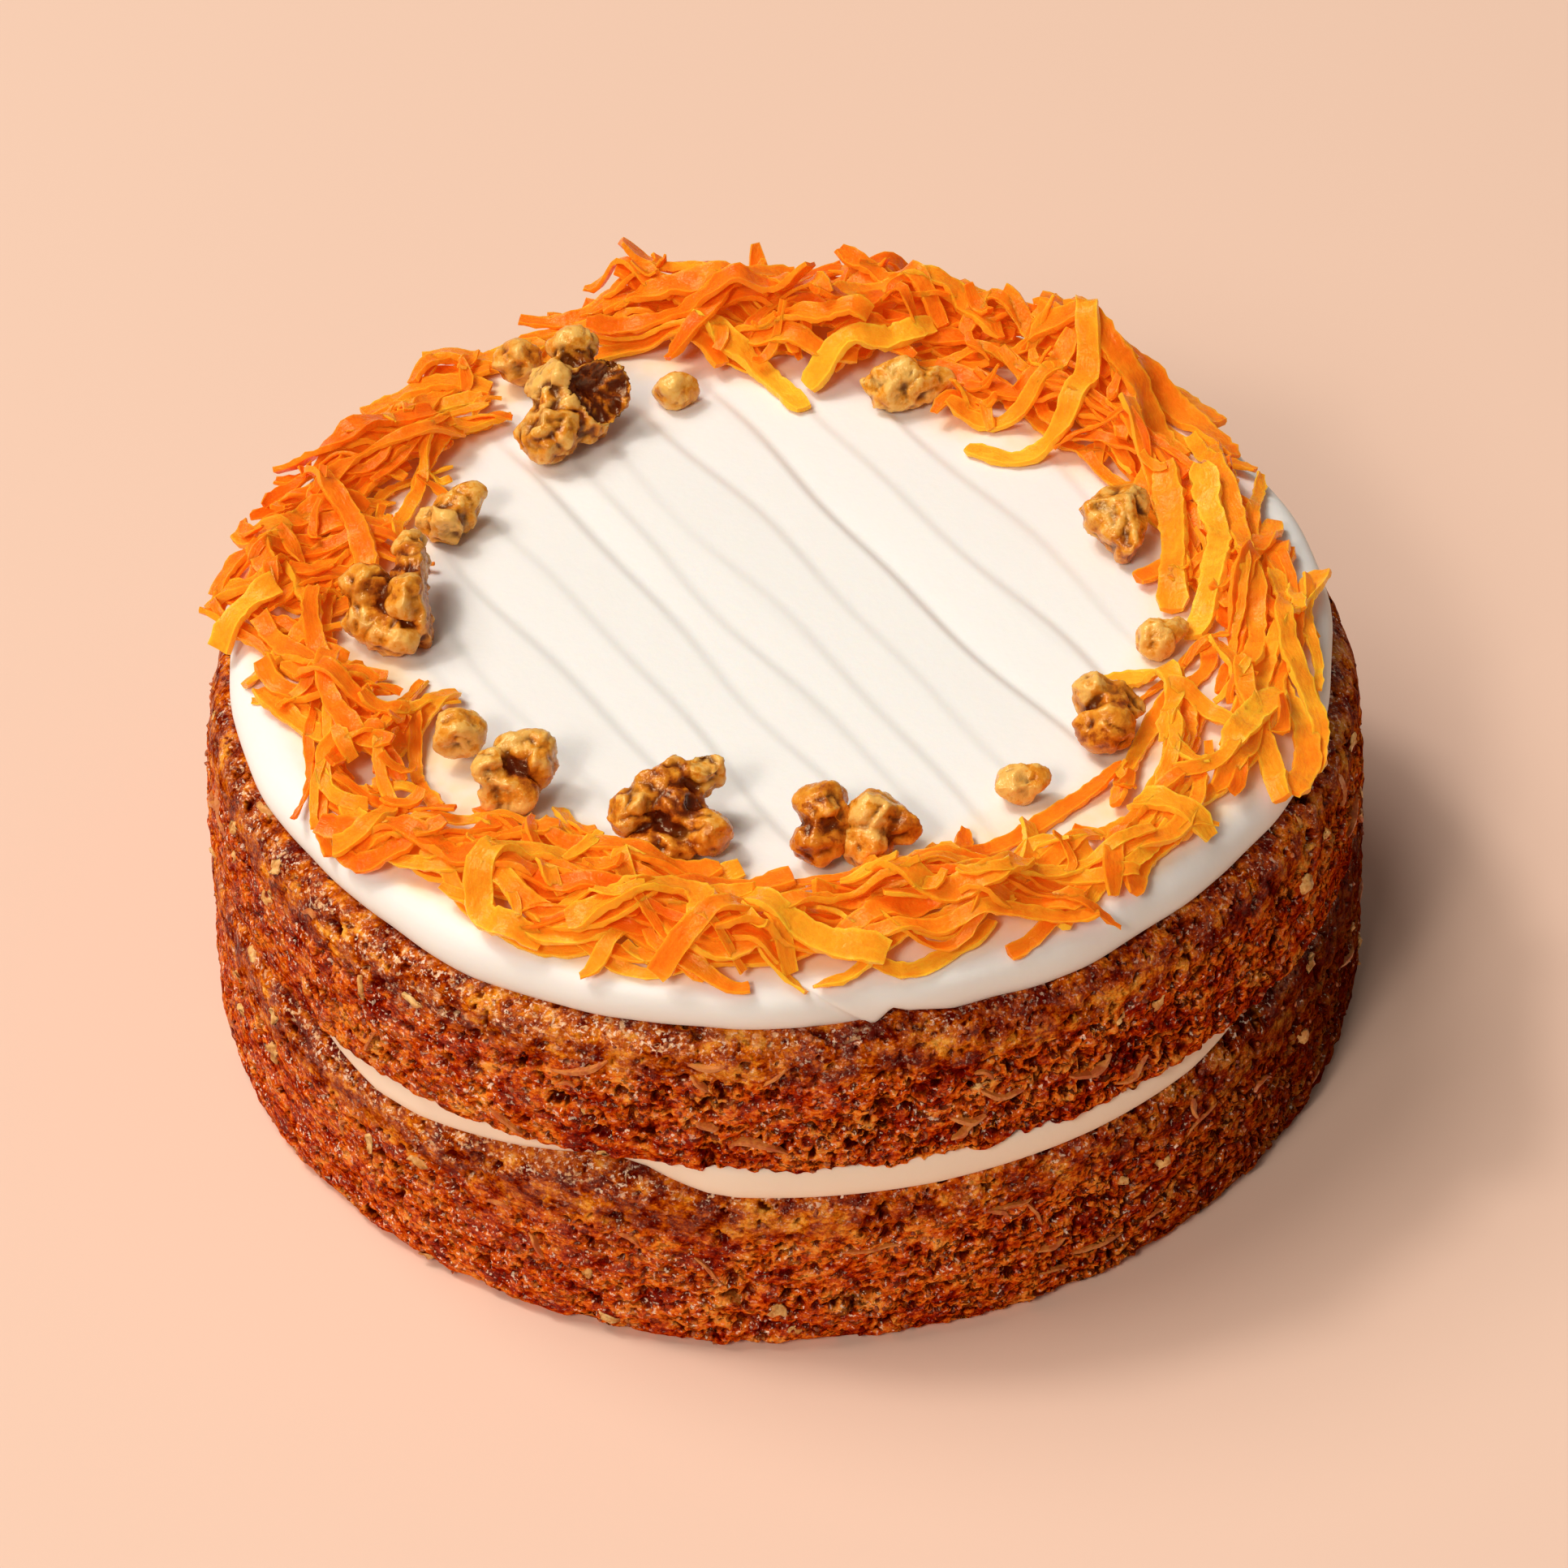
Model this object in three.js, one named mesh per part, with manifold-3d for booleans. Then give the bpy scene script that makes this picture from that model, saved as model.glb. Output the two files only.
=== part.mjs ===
// Carrot cake: two round layers of spiced sponge, cream between them and frosting on top,
// finished with a ring of grated carrot and toasted walnut pieces.
// Units are millimetres, +Z is up, and the origin is the centre of the face that the cake rests on.
// Azimuths are degrees, counted from +X towards +Y, so the cake's front is at 270.

import * as THREE from 'three';
import { mergeVertices } from 'three/addons/utils/BufferGeometryUtils.js';
import Module from 'manifold-3d';

const wasm = await Module();
wasm.setup();

// ---- Driving dimensions ----

const BASE_RADIUS = 99.6;          // an eight-inch tin
const LOWER_TOP = 34;              // middle of the lower layer
const UPPER_BOTTOM = 38;           // the upper layer's flat underside
const UPPER_TOP = 64.2;
const FROSTING_TOP = 72.4;
const FROSTING_RADIUS = 92.3;      // at its widest, half way up its side
const GAP = 0.3;                   // between pieces that touch
const ROUND_SEGMENTS = 72;

const CRAG_DEPTH = 0.55;           // how far the crumb's surface wanders
const HIDDEN_LIFT = 2.9;           // rise of the lower layer's shoulder where no cream shows
const CREAM_SHOWS = [              // centre azimuth, half width and share of the full bulge
  [287, 45, 1.0],
  [232, 24, 0.85],
  [100, 50, 0.9],
];
const LOWER_SHOULDER = [[97.5, 31.2], [94, 33.1], [84, 33.8]];
const CREAM_SET_BACK = 91;         // radius of the cream where it is hidden
const CREAM_REACH = 97.9;          // radius of the cream where it shows

const RIDGE_AZIMUTH = 301;         // the direction of the palette knife's strokes
const RIDGE_FIELD_RADIUS = 70;
const RIDGES = [                   // distance of each crease from the centre line, and its depth
  [-58, 0.5], [-48, 0.6], [-38, 0.7], [-28, 1.1], [-17, 0.7], [-9, 0.6],
  [-1, 0.7], [9.5, 0.8], [20, 1.2], [34, 0.9], [45, 0.7], [56, 0.5],
];

const FOLD_AZIMUTH = 278.5;        // where the last stroke round the side overlaps the first
const FOLD_SWEEP = 52;

const RING_INNER = 63;
const RING_OUTER = 88.5;
const RING_HEIGHT = 8.2;
const RING_WAVES_IN = [            // centre azimuth, half width and height of each bay or lobe
  [112, 34, 13], [218, 36, -5], [62, 16, -6], [175, 22, 4], [315, 50, -2],
];
const RING_WAVES_OUT = [
  [90, 60, 3], [165, 20, 5], [205, 22, -2], [345, 16, 1],
];
const SHRED_COUNT = 50;
const SHRED_WIDTH = [3.6, 5.2];
const SHRED_LENGTH = [16, 33];
const SHRED_THICKNESS = 1.7;
const SHRED_STEPS = 4;

// Walnut pieces: place on the cake, then lobes as offset x, y, z and radii x, y, z.
// Offsets in z count from the top of the frosting.
const WALNUTS = {
  walnut_back_left: {
    at: [-34, 52],
    lobes: [
      [-5.2, -8.3, 5.2, 5.4, 4.8, 5.0], [2.7, -2.5, 4.2, 2.8, 4.0, 4.2], [6.3, 0.1, 8.0, 2.4, 3.5, 5.0],
      [2.3, 1.1, 8.0, 4.4, 4.0, 5.0], [-0.7, 5.9, 13.0, 4.0, 3.4, 3.2], [-5.3, -0.5, 11.0, 5.0, 3.8, 3.8],
      [-2.8, -3.8, 6.4, 4.4, 4.4, 4.4],
    ],
  },
  walnut_behind_left: { at: [-45, 64], lobes: [[0.1, 0.4, 5.5, 3.9, 3.6, 3.8]] },
  walnut_back_crumb: { at: [-17, 59], lobes: [[-0.5, -0.3, 3.0, 3.8, 3.4, 3.0]] },
  walnut_back_wedge: {
    at: [22, 57],
    lobes: [[-0.2, -0.3, 4.0, 5.5, 3.4, 4.2], [-4.5, -0.6, 2.4, 4.4, 2.4, 2.3], [4.8, 0.2, 4.0, 4.2, 2.8, 3.0]],
  },
  walnut_right_back: {
    at: [57, 15],
    lobes: [[0.6, 1.6, 6.0, 5.6, 4.5, 5.0], [2.9, -3.9, 3.6, 3.6, 3.5, 3.6]],
  },
  walnut_right_crumb: { at: [63, -13], lobes: [[-1.6, -0.7, 3.0, 3.2, 3.0, 3.0], [1.3, 1.1, 3.6, 3.0, 2.6, 2.6]] },
  walnut_right_front: {
    at: [52, -34],
    lobes: [[-1.7, 1.8, 6.0, 2.8, 2.6, 3.6], [2.0, 1.0, 5.0, 4.0, 3.0, 3.2], [0.3, -4.1, 4.0, 4.5, 3.6, 3.6]],
  },
  walnut_front_crumb: { at: [38, -49], lobes: [[-1.1, -0.5, 3.4, 3.2, 3.0, 3.0], [1.6, -0.1, 3.6, 2.0, 2.0, 2.0]] },
  walnut_front_dark: {
    at: [6, -62],
    lobes: [[0.2, 2.5, 7.6, 4.0, 3.6, 3.8], [-1.1, -1.7, 4.0, 3.2, 3.0, 3.6]],
  },
  walnut_front_pale: {
    at: [14, -62],
    lobes: [[0.2, 1.5, 6.6, 3.8, 3.6, 3.4], [-1.2, -1.7, 3.8, 3.2, 3.0, 3.4], [4.2, 1.0, 5.6, 3.4, 2.8, 2.6]],
  },
  walnut_front_boot: {
    at: [-18, -57],
    lobes: [
      [-6.0, -0.1, 6.0, 3.2, 3.0, 3.4], [0.3, 4.7, 9.0, 3.0, 2.6, 3.0], [5.6, 5.6, 8.6, 2.6, 2.4, 3.8],
      [-3.0, 1.6, 7.0, 4.2, 3.4, 3.6], [5.4, -3.3, 4.2, 4.0, 3.4, 3.4], [-1.4, -5.4, 2.8, 5.8, 3.0, 2.8],
      [3.4, 2.2, 5.0, 3.4, 3.2, 4.2],
    ],
  },
  walnut_front_left: {
    at: [-42, -47],
    lobes: [
      [1.1, 3.1, 8.6, 4.2, 2.8, 2.8], [-4.4, -0.7, 6.6, 2.4, 2.6, 3.6], [-1.8, -2.7, 4.0, 4.2, 3.2, 3.4],
      [3.4, 0.8, 6.6, 2.4, 2.4, 3.2], [-0.1, 0.9, 4.6, 3.8, 3.2, 3.8],
    ],
  },
  walnut_left_crumbly: { at: [-52, -37], lobes: [[-0.2, 0.3, 6.0, 4.2, 3.4, 3.4]] },
  walnut_left_large: {
    at: [-63, -3],
    lobes: [
      [-4.9, 0.3, 8.6, 3.8, 3.6, 4.0], [1.6, -3.3, 8.8, 3.6, 3.2, 3.8], [1.6, 11.0, 8.6, 2.8, 2.8, 2.8],
      [2.4, 4.2, 8.2, 3.4, 5.0, 3.8], [-5.0, -3.1, 4.5, 4.0, 3.2, 3.2], [-1.0, -5.8, 3.4, 4.2, 3.2, 3.4],
      [4.0, -3.0, 5.0, 2.6, 3.4, 6.0],
    ],
  },
  walnut_left_long: {
    at: [-56, 22],
    lobes: [[-3.2, -1.5, 4.0, 3.6, 3.2, 3.4], [0.0, -2.8, 3.6, 2.8, 2.8, 3.2], [3.7, 3.6, 4.4, 3.6, 3.0, 3.0],
      [1.2, 1.3, 4.0, 3.8, 3.0, 3.4]],
  },
};

const COLOURS = {
  sponge: 0x8a4a1e,
  cream: 0xf4ece0,
  carrot: 0xe8771b,
  walnut: 0xb57a38,
};

// ---- Helpers ----

const radians = THREE.MathUtils.degToRad;
const mix = THREE.MathUtils.lerp;

// Repeatable random numbers from 0 to 1.
function seededRandom(seed) {
  let state = seed;
  return () => {
    state = (state * 1664525 + 1013904223) % 4294967296;
    return state / 4294967296;
  };
}

// A smooth bump round the cake: 1 at its centre azimuth, 0 from its half width outwards.
function bump(azimuth, centre, halfWidth) {
  const away = Math.abs(((azimuth - centre + 540) % 360) - 180);
  return away < halfWidth ? 0.5 + 0.5 * Math.cos((Math.PI * away) / halfWidth) : 0;
}

const waves = (azimuth, list) =>
  list.reduce((sum, [centre, halfWidth, height]) => sum + height * bump(azimuth, centre, halfWidth), 0);

// How much of the cream shows at an azimuth, from 0 to 1.
const creamShows = (azimuth) => Math.min(1, 1.7 * waves(azimuth, CREAM_SHOWS));

const shoulderRise = (azimuth) => HIDDEN_LIFT * (1 - creamShows(azimuth));

const ringInner = (azimuth) => RING_INNER + waves(azimuth, RING_WAVES_IN);
const ringOuter = (azimuth) => RING_OUTER + waves(azimuth, RING_WAVES_OUT);

// Merges a geometry's doubled vertices and drops the triangles that collapse at its poles.
function merged(geometry) {
  geometry.deleteAttribute('normal');
  geometry.deleteAttribute('uv');
  const whole = mergeVertices(geometry, 1e-4);
  const index = whole.index.array;
  const kept = [];
  for (let i = 0; i < index.length; i += 3) {
    const [a, b, c] = [index[i], index[i + 1], index[i + 2]];
    if (a !== b && b !== c && c !== a) kept.push(a, b, c);
  }
  whole.setIndex(kept);
  return whole;
}

// Calls move(vertex) on every vertex of a merged geometry, in order.
function reshape(geometry, move) {
  const position = geometry.attributes.position;
  const vertex = new THREE.Vector3();
  for (let i = 0; i < position.count; i += 1) {
    vertex.fromBufferAttribute(position, i);
    move(vertex);
    position.setXYZ(i, vertex.x, vertex.y, vertex.z);
  }
  return geometry;
}

const solid = (geometry) =>
  new wasm.Manifold(
    new wasm.Mesh({
      numProp: 3,
      vertProperties: Float32Array.from(geometry.attributes.position.array),
      triVerts: Uint32Array.from(geometry.index.array),
    }),
  );

function geometryOf(manifold) {
  const { vertProperties, triVerts } = manifold.getMesh();
  const geometry = new THREE.BufferGeometry();
  geometry.setAttribute('position', new THREE.BufferAttribute(vertProperties, 3));
  geometry.setIndex(new THREE.BufferAttribute(triVerts, 1));
  return geometry;
}

// The largest of the bodies that a cut leaves.
const largest = (manifold) => manifold.decompose().sort((a, b) => b.volume() - a.volume())[0];

// Cuts a piece by what it lies on, with a gap between the two.
const laidOn = (piece, support) => piece.subtract(support.translate([0, 0, GAP]));

// A profile of [radius, height] pairs turned round Z.
// move(vertex, azimuth, radius) then works on every vertex.
function turned(profile, segments, move) {
  const outline = profile.map(([radius, height]) => new THREE.Vector2(radius, height));
  const lathe = new THREE.LatheGeometry(outline, segments);
  lathe.rotateX(Math.PI / 2);
  return reshape(merged(lathe), (vertex) => {
    const radius = Math.hypot(vertex.x, vertex.y);
    const azimuth = (THREE.MathUtils.radToDeg(Math.atan2(vertex.y, vertex.x)) + 360) % 360;
    move(vertex, azimuth, radius);
  });
}

function setRadius(vertex, radius) {
  const scale = radius / Math.hypot(vertex.x, vertex.y);
  vertex.x *= scale;
  vertex.y *= scale;
}

// ---- Sponge layers ----

// The wall of each layer wanders by a crag's depth; the flat faces inside stay true.
function crumbWall(random, wallRadius) {
  return (vertex, azimuth, radius) => {
    const sway = 0.35 * Math.sin(radians(3 * azimuth + 40)) + 0.25 * Math.sin(radians(7 * azimuth));
    const crag = CRAG_DEPTH * (2 * random() - 1);
    if (radius > wallRadius) setRadius(vertex, radius + sway + crag);
  };
}

// Height of the lower layer's shoulder; it stands higher where the two layers nearly meet.
function shoulderHeight(radius, azimuth) {
  const [[r0, z0], [r1, z1], [r2, z2]] = LOWER_SHOULDER;
  const { mapLinear } = THREE.MathUtils;
  const height = radius > r1 ? mapLinear(radius, r1, r0, z1, z0) : mapLinear(radius, r2, r1, z2, z1);
  return height + shoulderRise(azimuth);
}

function lowerSponge() {
  const profile = [
    [0, 0], [97.4, 0], [BASE_RADIUS, 1.4], [BASE_RADIUS, 8], [99.2, 15], [98.9, 22], [98.5, 28.4],
    ...LOWER_SHOULDER, [0, LOWER_TOP],
  ];
  const crumble = crumbWall(seededRandom(11), 98);
  return solid(turned(profile, ROUND_SEGMENTS, (vertex, azimuth, radius) => {
    crumble(vertex, azimuth, radius);
    if (radius > 80) vertex.z += shoulderRise(azimuth) * THREE.MathUtils.smoothstep(vertex.z, 14, 31);
  }));
}

function upperSponge() {
  const profile = [
    [0, UPPER_BOTTOM], [95.6, UPPER_BOTTOM], [98, 39], [97.9, 45], [97.2, 51.5], [96.3, 58],
    [95.2, 61.4], [92.6, 63.4], [89, 64], [0, UPPER_TOP],
  ];
  return solid(turned(profile, ROUND_SEGMENTS, crumbWall(seededRandom(23), 94)));
}

// ---- Cream between the layers ----

// Its underside lies on the lower layer's shoulder, and its face stands forward only where it shows.
function filling() {
  const top = UPPER_BOTTOM - GAP;
  const [[rim], [crest], [bed, bedHeight]] = LOWER_SHOULDER;
  const inside = CREAM_SET_BACK - 1;
  const face = [[rim, 0], [CREAM_REACH, 0.45], [CREAM_REACH - 0.2, 0.75], [CREAM_REACH - 1.6, 1]];
  const profile = [[0, LOWER_TOP + GAP], [bed, bedHeight + GAP], [inside, 0], ...face, [0, top]];
  const reach = (radius, azimuth) => mix(mix(CREAM_SET_BACK, radius, 0.3), radius, creamShows(azimuth));
  return solid(turned(profile, ROUND_SEGMENTS, (vertex, azimuth, radius) => {
    if (radius < bed - 1) return;
    const share = radius > inside + 1 ? vertex.z : 0;
    if (radius > inside + 1) setRadius(vertex, reach(radius, azimuth));
    else if (radius > inside - 1) setRadius(vertex, Math.min(crest, reach(rim, azimuth) - 1));
    const under = shoulderHeight(Math.min(rim, Math.hypot(vertex.x, vertex.y)), azimuth) + GAP;
    vertex.z = mix(under, top, share);
  }));
}

// ---- Frosting ----

// What a palette knife takes off the top: one crease and one low swell for each stroke.
function knifeStrokes() {
  const reach = RIDGE_FIELD_RADIUS + 5;
  const shape = new THREE.Shape();
  shape.moveTo(-reach, 4);
  shape.lineTo(-reach, 0);
  RIDGES.forEach(([across, depth], i) => {
    const width = i + 1 < RIDGES.length ? RIDGES[i + 1][0] - across : 6;
    shape.lineTo(across - 1.4, 0);
    shape.lineTo(across, -depth);
    shape.lineTo(across + 0.3 * width, -0.4 * depth);
    shape.lineTo(across + 0.6 * width, 0);
  });
  shape.lineTo(reach, 0);
  shape.lineTo(reach, 4);
  const strokes = new THREE.ExtrudeGeometry(shape, { depth: 2 * reach, bevelEnabled: false });
  strokes.translate(0, 0, -reach);
  strokes.rotateX(Math.PI / 2);
  strokes.rotateZ(radians(RIDGE_AZIMUTH - 270));
  strokes.translate(0, 0, FROSTING_TOP);
  const field = new THREE.CylinderGeometry(RIDGE_FIELD_RADIUS, RIDGE_FIELD_RADIUS, 6, 48);
  field.rotateX(Math.PI / 2);
  field.translate(0, 0, FROSTING_TOP);
  return solid(merged(strokes)).intersect(solid(merged(field)));
}

// The end of the stroke round the side: a lip that swells over its sweep and ends in a point.
function overlappingLip() {
  const steps = 9;
  const band = new THREE.BoxGeometry(1, 2, 2, steps, 1, 1);
  return solid(reshape(merged(band), (vertex) => {
    const along = vertex.x + 0.5;
    const swell = Math.sin(Math.PI * 0.5 * Math.min(1, 1.25 * along));
    const reach = FROSTING_RADIUS - 3 + 3.9 * swell - (along > 0.99 ? 1.6 : 0);
    const radius = vertex.y > 0 ? 84 : reach - (vertex.z > 0 ? 1.2 : 0);
    const azimuth = radians(FOLD_AZIMUTH - FOLD_SWEEP * (1 - along) - (vertex.y > 0 ? 3 * along : 0));
    const height = vertex.z > 0 ? mix(67, 69.6, swell) : mix(65, 63.2, swell);
    vertex.set(radius * Math.cos(azimuth), radius * Math.sin(azimuth), height);
  }));
}

function frosting(upper) {
  const bottom = UPPER_TOP + GAP;
  const wide = FROSTING_RADIUS;
  const profile = [
    [0, bottom], [wide - 1.1, bottom], [wide, 66.6], [wide - 0.7, 69.2], [wide - 2.8, 71.3],
    [wide - 8, FROSTING_TOP], [0, FROSTING_TOP],
  ];
  const sway = [[20, 40, 0.8], [75, 30, -0.7], [140, 40, 0.6], [300, 30, -0.7], [205, 30, 0.5]];
  const disc = turned(profile, ROUND_SEGMENTS, (vertex, azimuth, radius) => {
    if (radius > 86) setRadius(vertex, radius + waves(azimuth, sway));
  });
  const whole = solid(disc).add(overlappingLip()).subtract(knifeStrokes());
  return largest(laidOn(whole, upper));
}

// ---- Walnut pieces ----

function walnut({ at, lobes }, seed, grow = 0) {
  const random = seededRandom(seed);
  const pieces = lobes.map(([x, y, z, ...radii]) => {
    const fine = radii[0] * radii[1] * radii[2] > 80 ? 1 : 0;
    const [across, deep, high] = radii.map((radius) => radius + grow);
    const lobe = merged(new THREE.SphereGeometry(1, 6 + fine, 4 + fine));
    reshape(lobe, (vertex) => vertex.multiplyScalar(1.1 + 0.12 * (2 * random() - 1)));
    lobe.rotateX(2 * random());
    lobe.rotateZ(2 * random());
    lobe.scale(across, deep, high);
    lobe.translate(at[0] + x, at[1] + y, FROSTING_TOP + z);
    return solid(lobe);
  });
  const whole = pieces.reduce((joined, piece) => joined.add(piece));
  const slab = new THREE.BoxGeometry(300, 300, 20);
  slab.translate(0, 0, FROSTING_TOP + (grow > 0 ? 0 : GAP) - 10);
  return whole.subtract(solid(merged(slab)));
}

// ---- Ring of grated carrot ----

// Height of the heap above the frosting at a radius and azimuth.
function heapHeight(radius, azimuth) {
  const middle = (ringInner(azimuth) + ringOuter(azimuth)) / 2;
  const half = (ringOuter(azimuth) - ringInner(azimuth)) / 2;
  const side = Math.min(1, Math.abs(radius - middle) / half);
  return RING_HEIGHT * Math.sqrt(1 - side * side);
}

function ringCore() {
  const floor = FROSTING_TOP + GAP;
  const section = [[0, 0], [1, 0], [0.92, 0.34], [0.64, 0.6], [0.34, 0.58], [0.1, 0.24], [0, 0]];
  const profile = section.map(([across, up]) => [mix(RING_INNER, RING_OUTER, across), up]);
  const core = turned(profile, 40, (vertex, azimuth, radius) => {
    const across = (radius - RING_INNER) / (RING_OUTER - RING_INNER);
    const lump = 1 + 0.16 * Math.sin(radians(9 * azimuth)) + 0.12 * Math.sin(radians(14 * azimuth + 50));
    setRadius(vertex, mix(ringInner(azimuth) + 2, ringOuter(azimuth) - 3, across));
    vertex.z = floor + RING_HEIGHT * vertex.z * lump;
  });
  return solid(core);
}

// One shred: a flat strip bent in plan, which lies over the heap and droops towards its ends.
function shred(random, azimuth, rank) {
  const length = mix(...SHRED_LENGTH, random());
  const width = mix(...SHRED_WIDTH, random());
  const inner = ringInner(azimuth);
  const outer = ringOuter(azimuth);
  const radius = mix(inner + 3, outer - 4, (rank * 0.618) % 1);
  const heading = radians(azimuth + 90 + 90 * (random() - 0.5));
  const bend = radians(mix(-40, 100, random()));
  const lean = mix(-0.5, 0.5, random());
  const lift = mix(-0.7, 0.9, random());
  const middle = new THREE.Vector2(radius * Math.cos(radians(azimuth)), radius * Math.sin(radians(azimuth)));
  const strip = merged(new THREE.BoxGeometry(1, 1, 1, SHRED_STEPS, 1, 1));
  return solid(reshape(strip, (vertex) => {
    const along = vertex.x;
    const turn = heading + bend * along;
    const taper = Math.abs(along) > 0.45 ? 0.6 : 1;
    const half = heading + bend * along * 0.5;
    const x = middle.x + length * along * Math.cos(half) - vertex.y * width * taper * Math.sin(turn);
    const y = middle.y + length * along * Math.sin(half) + vertex.y * width * taper * Math.cos(turn);
    const centreX = middle.x + length * along * Math.cos(half);
    const centreY = middle.y + length * along * Math.sin(half);
    const under = (THREE.MathUtils.radToDeg(Math.atan2(centreY, centreX)) + 360) % 360;
    const heap = heapHeight(Math.hypot(centreX, centreY), under);
    const height = Math.max(1.1, heap - 0.6 + lift) + lean * vertex.y * width;
    vertex.set(x, y, FROSTING_TOP + height + vertex.z * SHRED_THICKNESS);
  }));
}

function carrotRing(iced, nuts) {
  const random = seededRandom(5);
  let heap = ringCore();
  for (let i = 0; i < SHRED_COUNT; i += 1) {
    const azimuth = (360 * i) / SHRED_COUNT + 3 * (random() - 0.5);
    heap = heap.add(shred(random, azimuth, i));
  }
  heap = laidOn(heap, iced);
  Object.entries(nuts).forEach(([name, piece]) => {
    const seed = Object.keys(nuts).indexOf(name) + 1;
    heap = heap.subtract(walnut(piece, seed, GAP + 0.2));
  });
  return largest(heap);
}

// ---- The cake ----

const finish = (colour, roughness) => new THREE.MeshStandardMaterial({ color: colour, roughness, metalness: 0 });

const materials = {
  sponge: finish(COLOURS.sponge, 0.6),
  cream: finish(COLOURS.cream, 0.45),
  carrot: finish(COLOURS.carrot, 0.4),
  walnut: finish(COLOURS.walnut, 0.5),
};

const group = new THREE.Group();

function addPiece(name, manifold, material) {
  const mesh = new THREE.Mesh(geometryOf(manifold), material);
  mesh.name = name;
  group.add(mesh);
}

const lower = lowerSponge();
const upper = upperSponge();
const iced = frosting(upper);

addPiece('sponge_bottom', lower, materials.sponge);
addPiece('filling', filling(), materials.cream);
addPiece('sponge_top', upper, materials.sponge);
addPiece('frosting', iced, materials.cream);
addPiece('carrot_ring', carrotRing(iced, WALNUTS), materials.carrot);

Object.entries(WALNUTS).forEach(([name, piece], i) => {
  let nut = walnut(piece, i + 1);
  if (name === 'walnut_front_pale') {
    const dark = Object.keys(WALNUTS).indexOf('walnut_front_dark') + 1;
    nut = nut.subtract(walnut(WALNUTS.walnut_front_dark, dark, GAP));
  }
  addPiece(name, nut, materials.walnut);
});

export default group;
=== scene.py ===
# %% [markdown]
# # Carrot cake
# Two layers of spiced sponge with cream between them, frosting spread over the top, a ring of grated
# carrot and fifteen walnut pieces. The construction model gives every piece its place and size. This
# script dresses it: crumb that is open and torn, cream that a palette knife has passed over, carrot
# that lies ribbon over ribbon, and nuts with skin, grooves and pale broken faces.
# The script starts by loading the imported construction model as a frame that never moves.

# %% The frame
import math

import bmesh
import bpy
import numpy as np
from mathutils import Matrix, Vector


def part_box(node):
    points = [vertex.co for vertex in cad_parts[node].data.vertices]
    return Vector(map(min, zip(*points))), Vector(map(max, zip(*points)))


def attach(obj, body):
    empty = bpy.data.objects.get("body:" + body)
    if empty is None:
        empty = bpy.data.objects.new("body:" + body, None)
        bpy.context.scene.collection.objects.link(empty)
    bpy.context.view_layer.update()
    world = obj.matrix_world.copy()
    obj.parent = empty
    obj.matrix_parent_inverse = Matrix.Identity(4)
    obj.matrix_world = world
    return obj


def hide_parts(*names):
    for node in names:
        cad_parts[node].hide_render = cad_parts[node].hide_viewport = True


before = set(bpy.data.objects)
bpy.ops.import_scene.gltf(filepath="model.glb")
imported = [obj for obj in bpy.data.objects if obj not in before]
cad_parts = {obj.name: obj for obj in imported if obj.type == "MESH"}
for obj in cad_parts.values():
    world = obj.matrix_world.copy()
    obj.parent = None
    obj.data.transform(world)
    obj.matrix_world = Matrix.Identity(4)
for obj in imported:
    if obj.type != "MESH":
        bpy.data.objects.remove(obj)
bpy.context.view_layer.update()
MM = 0.001

# %% [markdown]
# ## Sizes
# Lengths below are millimetres, as a baker would measure them, and become metres only when a mesh is
# made. Sizes inside a node tree are metres from the start. Heights are read from the frame, so the looks
# follow the construction model if it changes. Azimuths are degrees from +X towards +Y, which puts the
# front of the cake at 270.

# %% Sizes read from the frame
def corner(node, end):
    """The lowest (end 0) or highest (end 1) corner of a node, in millimetres."""
    return np.array(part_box(node)[end]) / MM


SHOULDER_RISE = 2.9                # how far the lower layer's shoulder climbs where no cream shows
LOWER_RADIUS = 99.6
LOWER_CREST = corner("sponge_bottom", 1)[2] - SHOULDER_RISE
UPPER_BOTTOM = corner("sponge_top", 0)[2]
UPPER_TOP = corner("sponge_top", 1)[2]
ICED_TOP = corner("frosting", 1)[2]

print("heights, mm:", [round(float(z), 1) for z in (LOWER_CREST, UPPER_BOTTOM, UPPER_TOP, ICED_TOP)])

# %% [markdown]
# ## Camera
# The camera looks down at about forty degrees through a long lens, which shows the top and the side at
# once and hardly narrows the far end. A constraint could aim it at the cake, but it would also take out
# the slight roll of a camera that is held by hand. So its three axes are worked out, and then turned.

# %% Camera
CAMERA_PLACE = Vector((0, -0.6541, 0.5983))
CAMERA_PITCH = math.radians(40.78)
CAMERA_ROLL = math.radians(-1.34)
LENS = 115.5


def added(name, data):
    """A new object with this data, in the scene."""
    piece = bpy.data.objects.new(name, data)
    bpy.context.scene.collection.objects.link(piece)
    return piece


ahead = Vector((0, math.cos(CAMERA_PITCH), -math.sin(CAMERA_PITCH)))
side = Vector((1, 0, 0))
above = side.cross(ahead)
rolled_side = math.cos(CAMERA_ROLL) * side + math.sin(CAMERA_ROLL) * above
rolled_above = math.cos(CAMERA_ROLL) * above - math.sin(CAMERA_ROLL) * side

lens = bpy.data.cameras.new("camera")
lens.lens = LENS
camera = added("camera", lens)
turn = Matrix((rolled_side, rolled_above, -ahead)).transposed()
camera.matrix_world = Matrix.Translation(CAMERA_PLACE) @ turn.to_4x4()
bpy.context.scene.camera = camera
bpy.context.scene.view_settings.view_transform = "Standard"

print("camera looks down", round(math.degrees(CAMERA_PITCH), 1), "degrees")

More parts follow.
